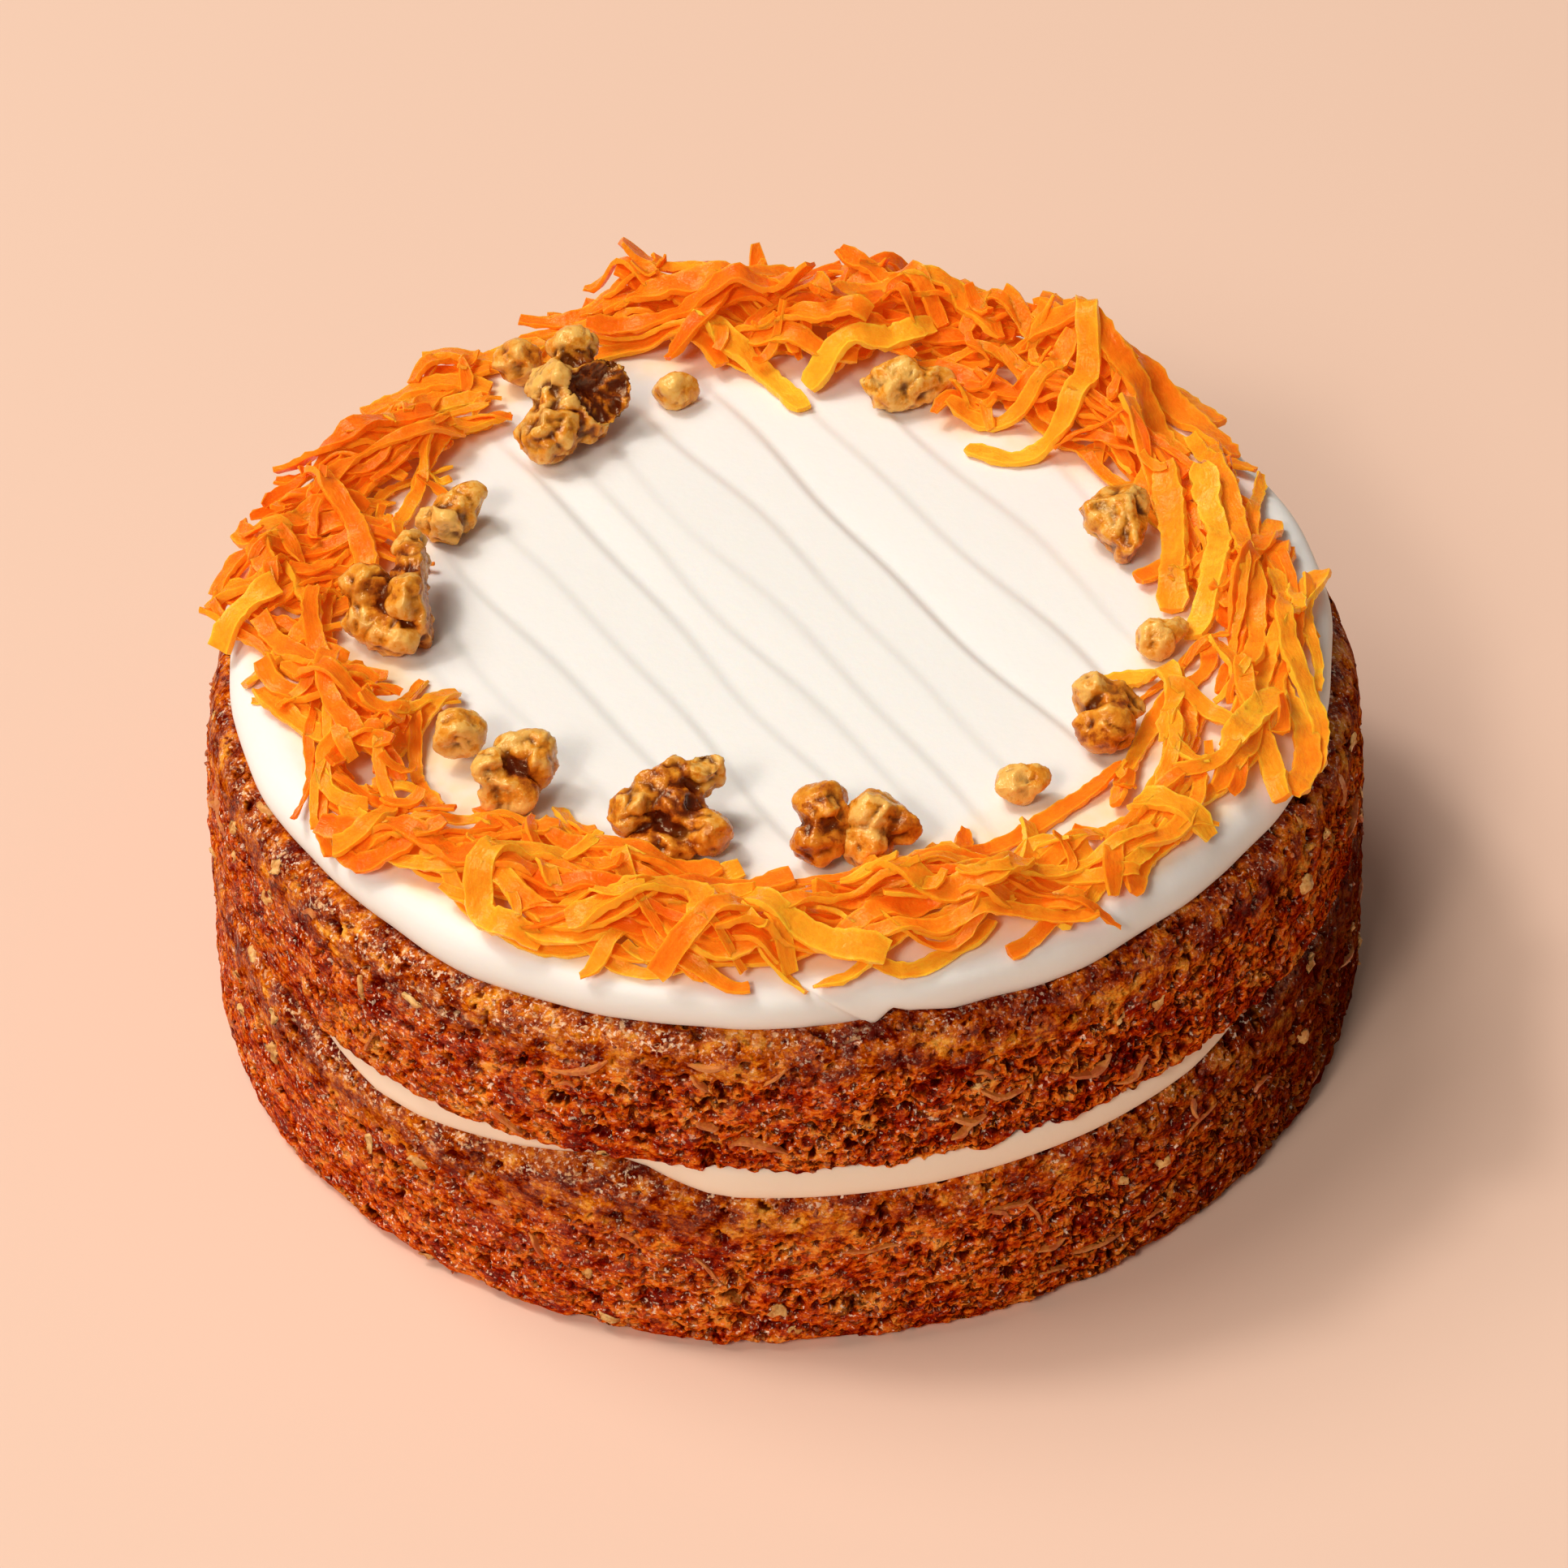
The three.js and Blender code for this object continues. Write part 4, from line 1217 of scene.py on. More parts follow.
def lobe_tones(points, lobes):
    """The tone of the lobe that a point belongs to, blended where lobes meet."""
    table = np.array(lobes)
    away = np.linalg.norm((points[:, None] - table[None, :, :3]) / table[None, :, 3:6], axis=2)
    share = np.exp(-TONE_SHARPNESS * (away - away.min(1, keepdims=True)))
    return (share * table[:, 6]).sum(1) / share.sum(1)


# %% [markdown]
# Three things then happen to the melted nut, each a rule on its points. First flats are broken off it,
# most of them off pieces of plain kernel, and then deep creases are sunk along short lines.

# %% Breaking and creasing
BROKEN_FLATS = {                   # how many flats are broken off, where it is more than one
    "walnut_back_wedge": 6, "walnut_right_back": 8, "walnut_right_crumb": 4, "walnut_front_crumb": 3,
    "walnut_left_long": 7, "walnut_back_crumb": 3,
}
CREASES = {                        # start, end, width and depth of the deepest creases
    "walnut_front_boot": [
        ((-14.0, -58.0, ICED_TOP + 8.0), (-24.0, -61.8, ICED_TOP + 4.0), 1.3, 1.6),
        ((-20.5, -54.5, ICED_TOP + 10.0), (-17.0, -58.5, ICED_TOP + 7.0), 0.8, 0.9),
    ],
    "walnut_left_large": [
        ((-64.5, -2.0, ICED_TOP + 10.5), (-62.5, -9.0, ICED_TOP + 6.5), 1.1, 1.3),
        ((-60.5, -1.0, ICED_TOP + 11.5), (-66.0, 4.0, ICED_TOP + 9.0), 0.9, 1.0),
    ],
    "walnut_right_front": [((48.5, -35.3, ICED_TOP + 6.5), (55.5, -35.5, ICED_TOP + 7.0), 0.7, 0.6)],
    "walnut_front_left": [((-42.6, -48.6, ICED_TOP + 7.6), (-39.6, -49.6, ICED_TOP + 5.6), 1.7, 1.1)],
    "walnut_back_left": [((-39.5, 46.5, ICED_TOP + 8.5), (-33.0, 44.5, ICED_TOP + 8.0), 0.9, 0.9)],
    "walnut_front_dark": [((3.5, -64.5, ICED_TOP + 7.5), (6.5, -65.0, ICED_TOP + 5.0), 0.8, 0.6)],
}


def broken(points, tone, count, random):
    """Presses flats into a nut from outside, which bares paler kernel."""
    middle = (points.min(0) + points.max(0)) / 2
    pale = np.zeros(len(points))
    for _ in range(count):
        facing = random.normal(size=3) + [0, -0.5, 0.3]
        facing /= np.linalg.norm(facing)
        out = (points - middle) @ facing
        over = np.maximum(out - out.max() * random.uniform(0.60, 0.84), 0)
        points -= 0.9 * over[:, None] * facing
        pale = np.maximum(pale, over > 0.25)
    return points, tone + 0.15 * pale, middle


def creased(points, tone, middle, start, end, width, depth):
    """Sinks a dark crease into a nut along a line from start to end."""
    start, line = np.array(start), np.subtract(end, start)
    share = np.clip((points - start) @ line / (line @ line), 0, 1)
    away = np.linalg.norm(points - start - share[:, None] * line, axis=1)
    sunk = np.exp(-(away / width) ** 2)
    inward = middle - points
    inward /= np.maximum(np.linalg.norm(inward, axis=1), 1e-6)[:, None]
    return points + inward * (sunk * depth)[:, None], tone - 0.9 * sunk


print("creases:", sum(len(lines) for lines in CREASES.values()), "on", len(CREASES), "pieces")

# %% [markdown]
# One piece is a hollow half that faces the front, so a dish is pressed into it as the third step. Its
# edge is a little wavy, and dark rays run through it from the stem, as on the inside of a shell.

# %% The dish of a hollow half
DISHES = {                         # hollow shells: centre, way it faces, radius and depth
    "walnut_back_left": ((-30.2, 50.6, ICED_TOP + 9.0), (0.38, -0.68, 0.62), 5.7, 2.0),
}
STEM = (-0.45, 0.10, 0.35)         # where the dish's rays start, in its radii from its middle


def dished(points, tone, centre, facing, radius, depth):
    """Presses a shallow dish into a nut, with the dark rays of its shell inside."""
    facing = np.array(facing) / np.linalg.norm(facing)
    away = points - np.array(centre)
    out = away @ facing
    flat = away - out[:, None] * facing
    turn = np.arctan2(flat[:, 2], flat[:, 0])
    edge = radius * (1 + 0.10 * np.sin(3 * turn) + 0.07 * np.sin(5 * turn))
    reach = np.linalg.norm(flat, axis=1) / edge
    inside = (reach < 1) & (out > -2.5)
    points = points + np.where(inside, -depth * (1 - reach ** 2) - out, 0)[:, None] * facing
    stem = flat - radius * np.array(STEM)
    angle = np.arctan2(stem[:, 2], stem[:, 0])
    near = np.linalg.norm(stem, axis=1) / radius
    rays = 0.5 + 0.5 * np.sin(21 * angle + 1.5 * np.sin(4 * angle))
    tone = np.where(inside, -0.15 + 0.6 * rays * np.clip(near, 0, 1), tone)
    return points, np.where((reach > 0.88) & inside, 0.6, tone)


# %% [markdown]
# Each piece goes through these steps in turn. Last, whatever would stick through the frosting's top is
# squeezed flat just below it, and the tree carves the fine relief. The grooves are shallow on plain
# kernel and deep on a whole half.

# %% Making the walnuts
GROOVE_DEPTH, GROOVE_SIZE = 0.6, 0.0068
GROOVE_DEPTHS = {                  # how deep the grooves are where it isn't 0.6 mm
    "walnut_behind_left": 0.3, "walnut_back_crumb": 0.15, "walnut_back_wedge": 0.15,
    "walnut_right_back": 0.3, "walnut_right_crumb": 0.15, "walnut_front_crumb": 0.15,
    "walnut_front_pale": 0.35, "walnut_front_dark": 0.45, "walnut_left_crumbly": 0.25,
    "walnut_left_long": 0.3, "walnut_right_front": 0.35, "walnut_front_left": 0.4,
}
BURIED = 0.6                       # how far a nut reaches into the frosting


def make_walnut(index, node, at, lobes):
    random = np.random.default_rng(100 + index)
    placed = [(at[0] + x, at[1] + y, ICED_TOP + z, *rest) for x, y, z, *rest in lobes]
    piece = melted(nut_lumps(node.replace("walnut", "nut"), placed))
    points = points_of(piece)
    tone = lobe_tones(points, placed)
    points, tone, middle = broken(points, tone, BROKEN_FLATS.get(node, 1), random)
    for crease in CREASES.get(node, []):
        points, tone = creased(points, tone, middle, *crease)
    if node in DISHES:
        points, tone = dished(points, tone, *DISHES[node])
    floor = ICED_TOP - BURIED
    points[:, 2] = np.where(points[:, 2] < floor, floor + 0.1 * (points[:, 2] - floor), points[:, 2])
    piece.data.vertices.foreach_set("co", (points * MM).astype(np.float32).ravel())
    keep_on_points(piece.data, "tone", tone)
    return grow(
        piece, walnut_wrinkles, groove_depth=GROOVE_DEPTHS.get(node, GROOVE_DEPTH) * MM,
        groove_size=GROOVE_SIZE, shift=0.031 * (index + 1), material=toasted_walnut,
    )


nuts = {node: make_walnut(i, node, *spec) for i, (node, spec) in enumerate(WALNUTS.items())}
print("walnuts:", sum(len(nut.data.polygons) for nut in nuts.values()), "faces")

# %% [markdown]
# ## The ring of carrot
# Grated carrot is a few hundred flat ribbons, one and a half to five millimetres wide, that lie mostly
# along the ring and cross each other. A soft body solver could drop them, but a height map does the
# same in a second: each ribbon is laid over what is already there, and then raises the map for the
# next one.

# %% Height map
CELL = 0.5                         # size of a cell
MAP_REACH = 108                    # from the axis to each side of the map


class HeightMap:
    """Heights above the table, on a square grid round the axis."""

    def __init__(self):
        marks = np.arange(-MAP_REACH, MAP_REACH + CELL, CELL)
        x, y = np.meshgrid(marks, marks, indexing="ij")
        self.heights = np.maximum(iced_height(x, y), ICED_TOP - 2.5)

    def cells(self, plan):
        return tuple(np.clip(np.rint((plan.T + MAP_REACH) / CELL).astype(int), 0, len(self.heights) - 1))

    def under(self, plan):
        return self.heights[self.cells(plan)]

    def raise_to(self, plan, heights):
        np.maximum.at(self.heights, self.cells(plan), heights)


print("height map:", HeightMap().heights.shape, "cells of", CELL, "mm")

# %% [markdown]
# A ribbon's plan is a line with a bend and a slight wave. `lie_down` reads the map under its middle and
# both edges, lets the strip bridge the hollows that it is too stiff to follow, and tilts it where one
# edge lies higher.

# %% Laying a ribbon
PLAN_STEP = 1.1                    # between the points of a ribbon
STIFFNESS = 8                      # how many times a ribbon's hollows are bridged
STEEPEST, STEEPEST_TWISTED = 0.55, 0.75    # tilts in radians, as laid and with a twist added
EVENING = np.array([1, 2, 3, 2, 1]) / 9


def ribbon_plan(middle, heading, length, bend, wave, phase):
    """Points of a ribbon seen from above, with its middle where it is told."""
    along = np.linspace(-0.5, 0.5, max(4, round(length / PLAN_STEP)) + 1)
    turn = heading + bend * along + wave * np.sin(2 * np.pi * along * 1.4 + phase)
    steps = np.stack([np.cos(turn), np.sin(turn)], axis=1) * length / (len(along) - 1)
    plan = np.cumsum(steps, axis=0)
    return plan - plan[len(plan) // 2] + middle


def crossways(plan):
    """Unit directions across a ribbon at each of its points."""
    ahead = np.gradient(plan, axis=0)
    ahead /= np.maximum(np.hypot(*ahead.T), 1e-6)[:, None]
    return np.stack([-ahead[:, 1], ahead[:, 0]], axis=1)


def evened(values):
    return np.convolve(np.pad(values, 2, mode="edge"), EVENING, mode="valid")


def lie_down(heap, plan, width, thickness, lift, twist):
    """Lays a ribbon on the heap: returns its points and its tilt, and raises the heap under it."""
    out = crossways(plan) * width / 2
    middle = heap.under(plan)
    edges = [heap.under(plan + share * out) for share in (-0.8, 0.8)]
    base = np.maximum(middle, (edges[0] + edges[1]) / 2)
    tilt = np.clip(np.arctan2(edges[1] - edges[0], 1.6 * width / 2), -STEEPEST, STEEPEST)
    laid = base.copy()
    for _ in range(STIFFNESS):
        bridged = laid.copy()
        bridged[1:-1] = (laid[:-2] + laid[2:]) / 2
        laid = np.maximum(base, bridged)
    along = np.linspace(-1, 1, len(plan))
    raised = np.where(along < 0, *lift) * along ** 2
    laid = evened(laid) + raised + abs(twist) * width / 6
    tilt = np.clip(evened(tilt) + twist * along, -STEEPEST_TWISTED, STEEPEST_TWISTED)
    for share in np.linspace(-0.85, 0.85, 2 + round(width / CELL)):
        heap.raise_to(plan + share * out, laid + thickness + 0.5 * np.tan(tilt) * share * width / 2)
    return np.column_stack([plan, laid + thickness / 2]), tilt


# %% [markdown]
# How the ribbons lie changes round the ring: short, close and tangled on the left, long and smooth on
# the right, redder on the left and at the back. Each of these is a sum of bumps along the azimuth. Then
# a ribbon is kept only if it stays on the ring and off the nuts.

# %% How the ribbons lie
CROWDING = [                       # centre, half width and height of each bump
    (165, 60, 0.5), (250, 70, 0.45), (75, 55, 0.45), (350, 25, 0.35), (135, 26, 0.55),
    (274, 12, -0.45), (205, 20, 0.3),
]
DISORDER = [(180, 95, 1.0), (92, 45, 0.4)]
REDNESS = [(170, 80, 0.45), (80, 75, 0.50), (10, 50, 0.2)]
NUTS_KEPT_CLEAR = [
    (np.array([at[0] + x, at[1] + y]), 0.5 + (rx + ry) / 2)
    for at, lobes in WALNUTS.values() for x, y, _, rx, ry, _, _ in lobes
]


def crowding(azimuth):
    """How closely the ribbons lie at an azimuth."""
    return 0.5 + bumps(azimuth, CROWDING) + 0.12 * np.sin(np.radians(azimuth * 9))


def disorder(azimuth):
    """How freely the ribbons turn away from the ring's own direction at an azimuth."""
    return 0.5 + bumps(azimuth, DISORDER)


def yellowness(azimuth):
    """The share of pale strips at an azimuth."""
    return 1 - bumps(azimuth, REDNESS)


def fits(plan, slack):
    """Whether a ribbon keeps to the ring and off the nuts."""
    radius = np.hypot(*plan.T)
    azimuth = np.degrees(np.arctan2(plan[:, 1], plan[:, 0])) % 360
    past = np.maximum(around(azimuth, RING_IN) - radius, radius - around(azimuth, RING_OUT))
    if past.max() > slack or (past > 0.5).mean() > 0.4:
        return False
    return all(np.hypot(*(plan - place).T).min() > reach for place, reach in NUTS_KEPT_CLEAR)


print("crowding:", {a: round(float(crowding(a)), 2) for a in (0, 90, 180, 270)})

# %% [markdown]
# Some thirty ribbons are laid one by one, because the eye finds them: long ones over the back right edge,
# curls, a loop at the front, and ends that stick out past the rim. Each is a few corners, which are
# softened into a curve when it is laid.

# %% Ribbons laid one by one
LAID_BY_HAND = {                   # corners in plan, width, how yellow it is, and the lift of both ends
    "back_right_long": ([(47, 75), (58, 68), (68, 59), (77, 49)], 5.2, 0.40, (2.0, 0.8)),
    "back_right_second": ([(52, 66), (62, 59), (71, 50), (79, 38)], 4.8, 0.25, (1.5, 0.4)),
    "back_right_third": ([(44, 66), (53, 60), (62, 50), (70, 38)], 4.2, 0.35, (1.0, 0.4)),
    "curl_back_right": ([(33, 43), (41, 38), (50, 42), (55, 52), (54, 64)], 4.0, 0.75, (0.2, 0.4)),
    "curl_inner": ([(30, 52), (38, 48), (46, 50), (52, 58)], 3.6, 0.55, (0.4, 0.4)),
    "back_arch": ([(8, 80), (18, 86), (28, 85), (37, 75)], 4.2, 0.45, (2.5, 1.2)),
    "back_arch_low": ([(10, 74), (20, 79), (31, 78), (40, 68)], 3.8, 0.6, (1.0, 0.8)),
    "back_point": ([(41, 83), (38, 76), (33, 69)], 3.4, 0.4, (5.0, 0.2)),
    "back_raised": ([(-27, 91), (-18, 88), (-9, 84), (0, 79)], 4.8, 0.35, (8.0, 0.4)),
    "back_raised_second": ([(-3, 91), (-1, 83), (3, 75)], 3.4, 0.4, (8.0, 0.3)),
    "back_long": ([(-30, 82), (-19, 80), (-8, 81), (4, 84)], 4.4, 0.3, (1.5, 2.0)),
    "back_cross": ([(12, 90), (20, 84), (27, 76), (30, 70)], 3.6, 0.3, (4.0, 0.4)),
    "back_left_end": ([(-62, 72), (-55, 72), (-47, 70), (-41, 74)], 4.6, 0.5, (1.5, 0.5)),
    "back_left_second": ([(-72, 58), (-66, 62), (-58, 64), (-50, 62)], 4.4, 0.35, (1.0, 0.5)),
    "inner_back": ([(-14, 75), (-8, 70), (-1, 65), (5, 55)], 4.4, 0.9, (0.3, 0.3)),
    "inner_back_right": ([(6, 61), (13, 65), (21, 65), (28, 70)], 4.6, 0.95, (0.2, 0.2)),
    "right_yellow": ([(72, 26), (74, 10), (72, -3), (68, -12)], 4.6, 1.0, (0.2, 0.2)),
    "right_long": ([(66, 28), (67, 13), (65, -4)], 5.0, 0.6, (0.3, 0.3)),
    "right_arc": ([(50, -25), (55, -20), (61, -21), (64, -29), (61, -40)], 3.4, 0.85, (0.2, 0.2)),
    "right_tip": ([(55, -54), (62, -56), (67, -60)], 4.2, 0.8, (0.3, 0.3)),
    "right_end": ([(71, -44), (76, -35), (81, -28)], 4.6, 0.9, (0.5, 0.5)),
    "front_end": ([(-9, -75), (-5, -81), (3, -86), (15, -88)], 4.6, 0.95, (0.2, 0.2)),
    "front_loop": ([(-28, -70), (-36, -66), (-45, -68), (-49, -73), (-46, -79), (-38, -82)], 4.2, 0.8,
                   (0.3, 0.3)),
    "front_curl": ([(-34, -82), (-23, -80), (-15, -78), (-11, -82), (-14, -86)], 4.4, 0.7, (0.3, 0.3)),
    "front_straight": ([(-24, -79), (-16, -74), (-7, -71), (1, -69)], 4.2, 0.15, (0.6, 0.6)),
    "front_arc": ([(12, -68), (14, -76), (22, -80), (32, -78), (38, -70)], 4.0, 0.55, (0.4, 0.4)),
    "front_left_hook": ([(-62, -50), (-64, -56), (-67, -60), (-71, -58)], 3.6, 0.5, (0.1, 0.1)),
    "left_end": ([(-95, 6), (-90, 4), (-84, 5)], 5.0, 0.6, (0.3, 0.3)),
    "left_end_low": ([(-93, -6), (-89, -1), (-84, 3)], 4.6, 0.85, (0.2, 0.2)),
    "left_end_high": ([(-92, 20), (-88, 17), (-82, 17)], 4.6, 0.5, (0.4, 0.4)),
}

print("laid by hand:", len(LAID_BY_HAND), "ribbons")

# %% [markdown]
# All others are drawn by rule, in three rounds: a few that lie under the rest, the many that make the
# ring, and short scraps on top of them all. The ones laid one by one come before the scraps.

# %% The heap
# Count, spread across the ring, length (None: by azimuth), width, turning, bend, slack and shade.
ROUNDS = {
    "under": (45, 0.75, (10, 22), (2.6, 4.8), 40, (30, 50), 1.0, (0.0, 0.3)),
    "ring": (275, 0.95, None, (1.5, 4.1), 17, (35, 60), 5.5, (0.0, 0.85)),
    "scraps": (90, 1.0, (4, 9), (1.4, 2.8), 70, (20, 60), 3.0, (0.2, 1.0)),
}
TRIES = 60                         # how often a ribbon may be drawn again before it is given up


class Heap:
    """The ribbons laid so far, and the height map that they have raised."""

    def __init__(self, seed):
        self.random = np.random.default_rng(seed)
        self.map = HeightMap()
        self.ribbons = []

    def add(self, plan, width, thickness, shade, lift, twist):
        points, tilt = lie_down(self.map, plan, width, thickness, lift, twist)
        above_cream = points[:, 2] - iced_height(*plan.T)
        # Painted light: a ribbon that lies low over the cream is made yellower, for the light passing
        # through it.
        lit = shade + 0.35 * np.exp(-np.maximum(above_cream - 0.6, 0) / 1.5)
        self.ribbons.append((points, tilt, width, lit))

    def draw_place(self, spread):
        """A random azimuth, likelier where the ribbons crowd, and a place across the ring there."""
        while True:
            azimuth = self.random.uniform(0, 360)
            if self.random.uniform(0, 1.2) < crowding(azimuth) * ring_half(azimuth) / 13:
                break
        across = self.random.uniform(-spread, spread)
        radius = ring_middle(azimuth) + ring_half(azimuth) * across
        turn = math.radians(azimuth)
        return azimuth, radius * np.array([math.cos(turn), math.sin(turn)])

    def draw_plan(self, spread, length, turning, bend):
        """A random ribbon seen from above, with the azimuth of its middle."""
        random = self.random
        azimuth, middle = self.draw_place(spread)
        loose = disorder(azimuth)
        drift = 38 * loose * math.sin(middle[0] / 9 + 2.1 * math.sin(middle[1] / 13))
        heading = math.radians(azimuth + 90 + drift + random.normal(0, turning * loose))
        shortest, longest = length or (18, 54 - 22 * bump(azimuth, 190, 90))
        long = random.uniform(shortest, longest)
        bent = math.radians(random.normal(*bend))
        wave = random.uniform(0, 0.25)
        return azimuth, ribbon_plan(middle, heading, long, bent, wave, random.uniform(0, 6))

    def strew(self, count, spread, length, width, turning, bend, slack, shade):
        """Lays up to `count` random ribbons."""
        made = 0
        for _ in range(count * TRIES):
            azimuth, plan = self.draw_plan(spread, length, turning, bend)
            if not fits(plan, slack):
                continue
            wide = self.random.uniform(*width)
            lift = self.random.uniform(-0.2, 2.2 + 3.0 * bump(azimuth, 80, 50), 2)
            twist = self.random.normal(0, 0.6)
            yellow = self.random.uniform(*shade) * yellowness(azimuth)
            self.add(plan, wide, 0.25 * wide, yellow, lift, twist)
            made += 1
            if made == count:
                break


heap = Heap(12)
heap.strew(*ROUNDS["under"])
heap.strew(*ROUNDS["ring"])
for corners, width, shade, lift in LAID_BY_HAND.values():
    heap.add(softened(stepped(corners, PLAN_STEP), 14), width, width * 0.22, shade, lift, 0)
heap.strew(*ROUNDS["scraps"])
print("ribbons laid:", len(heap.ribbons))

# %% [markdown]
# Each ribbon is then swept along its line: Mesh to Curve, a tilt and a scale for every point, and a
# flat section with worn corners. A curve object with a bevel would do for one ribbon, but the tree takes
# all of them in one mesh of bare lines. The same tree sweeps the carrot threads in the sponge.

# %% The ribbons' tree
CRISP_ANGLE = math.radians(56)     # edges that turn more than this stay crisp


def ribbon_section(tree, flatness, cupping):
    """A flat quadrilateral with worn corners and a hollow middle, one unit wide."""
    size = {"Width": 1.0, "Height": flatness}
    section = Wire(tree).node("GeometryNodeCurvePrimitiveQuadrilateral", sockets=size)
    section = section.node("GeometryNodeSubdivideCurve", sockets={"Curve": section, "Cuts": 1})
    x = section.node("ShaderNodeSeparateXYZ", sockets={0: section.node("GeometryNodeInputPosition")})
    y = x.other(1)
    worn = 1 - (x * x) * (y * y) / (flatness * flatness) * 0.9
    place = x.node("ShaderNodeCombineXYZ", sockets={0: x * worn, 1: y * worn - x * x * cupping})
    section = section.node("GeometryNodeSetPosition", sockets={"Geometry": section, "Position": place})
    return stored(section, "across", x)


def ribbon_tree():
    inputs = {"Flatness": FLOAT, "Cupping": FLOAT, "Unevenness": FLOAT, "Material": MATERIAL}
    tree, given = growing_tree("swept_ribbons", inputs)
    line = given["Geometry"].node("GeometryNodeMeshToCurve", sockets={"Mesh": given["Geometry"]})
    line = line.node("GeometryNodeSetCurveNormal", {"mode": "Z_UP"}, {"Curve": line})
    line = line.node("GeometryNodeSetCurveTilt", sockets={"Curve": line, "Tilt": read(tree, "tilt")})
    length = line.node("GeometryNodeSplineParameter", output="Length")
    line = stored(line, "along", length * 1000)
    section = ribbon_section(tree, given["Flatness"], given["Cupping"])
    sweep = {"Curve": line, "Profile Curve": section, "Scale": read(tree, "width"), "Fill Caps": True}
    strips = line.node("GeometryNodeCurveToMesh", sockets=sweep)
    place = Wire(tree).node("GeometryNodeInputPosition")
    rough = (place.noise(0.0026, 2) + place.noise(0.0009, 2) - 1) * given["Unevenness"]
    strips = shaded_smooth(moved(strips, place.node("GeometryNodeInputNormal").scaled(rough)))
    bent = strips.node("GeometryNodeInputMeshEdgeAngle")
    crisp = {"Geometry": strips, "Selection": bent.above(CRISP_ANGLE), "Shade Smooth": False}
    end_tree(strips.node("GeometryNodeSetShadeSmooth", {"domain": "EDGE"}, crisp), given["Material"])
    return tree


swept_ribbons = ribbon_tree()
print("ribbon tree:", len(swept_ribbons.nodes), "nodes")

# %% [markdown]
# Raw carrot is a clear orange that turns deep and red where strips lie over each other, and yellow where
# a thin one lies on cream, because light passes through it. Subsurface scattering carries some of that
# light, and the rest is painted: ribbons low over the cream and the thin edges of every ribbon are made
# yellower. The shade kept on each ribbon sets its place between red and yellow, and a small glow stands
# for the light that bounces about in the heap. Fine threads run along every ribbon, so their noise reads
# the length and width that the tree has kept, and not the place.

# %% The carrot's finish
RED_TO_YELLOW = [
    (0.0, (0.76, 0.10, 0.003)), (0.3, (0.88, 0.18, 0.006)), (0.55, (0.95, 0.27, 0.011)),
    (0.8, (0.98, 0.37, 0.017)), (1.0, (1.0, 0.48, 0.030)),
]


def carrot_finish():
    material, shader, place = new_finish(
        "grated_carrot", subsurface_weight=0.75, subsurface_scale=0.0012,
        subsurface_radius=(1.0, 0.5, 0.15), emission_strength=0.10, specular_ior_level=0.25,
        specular_tint=(1.0, 0.66, 0.30, 1),
    )
    across = kept(place, "across")
    fibre = place.node("ShaderNodeCombineXYZ", sockets={0: kept(place, "along") * 0.3, 1: across * 5})
    thread = fibre.vector("ADD", place.scaled(90)).noise(1, 3, 0.6)
    patch = place.noise(0.005, 3, 0.6)
    # Thin edges are painted yellower, for the light that passes through them.
    edge = across.absolute().between(0.3, 0.5)
    pale = kept(place, "shade") * 0.65 + patch * 0.6 + (thread - 0.5) * 0.35 + edge * 0.3 - 0.17
    colour = pale.ramp(*RED_TO_YELLOW)
    drive(
        shader, place, base_color=colour, emission_color=colour, roughness=0.34 - thread * 0.14,
        normal=relief(place, thread * 0.5 + place.noise(0.0018, 3) * 1.2, 0.6, 0.0005),
    )
    return material


grated_carrot = carrot_finish()
print("carrot finish:", len(grated_carrot.node_tree.nodes), "nodes")

# %% [markdown]
# The laid lines now become one mesh of bare edges, with a tilt, a width and a shade on every point, and
# the tree turns it into ribbons. A grater leaves strips with uneven edges and torn ends, so the width
# wanders and each end narrows in its own way.

# %% Sweeping the ribbons
def lines_piece(name, lines):
    """A piece of bare lines for the tree. Each line is its points, tilts, widths and shades."""
    points, edges, tilts, widths, shades = [], [], [], [], []
    for path, tilt, width, shade in lines:
        first = len(points)
        points += path.tolist()
        edges += [(first + i, first + i + 1) for i in range(len(path) - 1)]
        tilts += list(tilt)
        widths += (np.asarray(width) * MM).tolist()
        shades += (shade + np.zeros(len(path))).tolist()
    mesh = bpy.data.meshes.new(name)
    mesh.from_pydata((np.array(points) * MM).tolist(), edges, [])
    for layer, values in (("tilt", tilts), ("width", widths), ("shade", shades)):
        keep_on_points(mesh, layer, values)
    return added(name, mesh)


def tapered(width, count, random):
    """Widths along a ribbon: full in the middle, narrow at the ends, each end in its own way."""
    along = np.linspace(0, 1, count)
    reach = 2 / count
    ends = [random.uniform(0.5, 1), random.uniform(0.5, 1)]
    first = ends[0] + (1 - ends[0]) * np.clip(along / reach, 0, 1)
    last = ends[1] + (1 - ends[1]) * np.clip((1 - along) / reach, 0, 1)
    wander = 1 + 0.12 * np.sin(along * random.uniform(4, 12) + random.uniform(0, 6))
    return width * np.minimum(first, last) * wander * random.normal(1, 0.045, count)


def ring_of_carrot():
    random = np.random.default_rng(77)
    lines = [
        (points, tilt, tapered(width, len(points), random), shade)
        for points, tilt, width, shade in heap.ribbons
    ]
    piece = lines_piece("carrot_ribbons", lines)
    grow(piece, swept_ribbons, flatness=0.30, cupping=0.4, unevenness=0.0009, material=grated_carrot)
    top = max(point.co.z for point in piece.data.vertices)
    print(f"carrot: {len(piece.data.polygons)} faces, top {top / MM:.1f} mm")
    return piece


carrot_ring = ring_of_carrot()

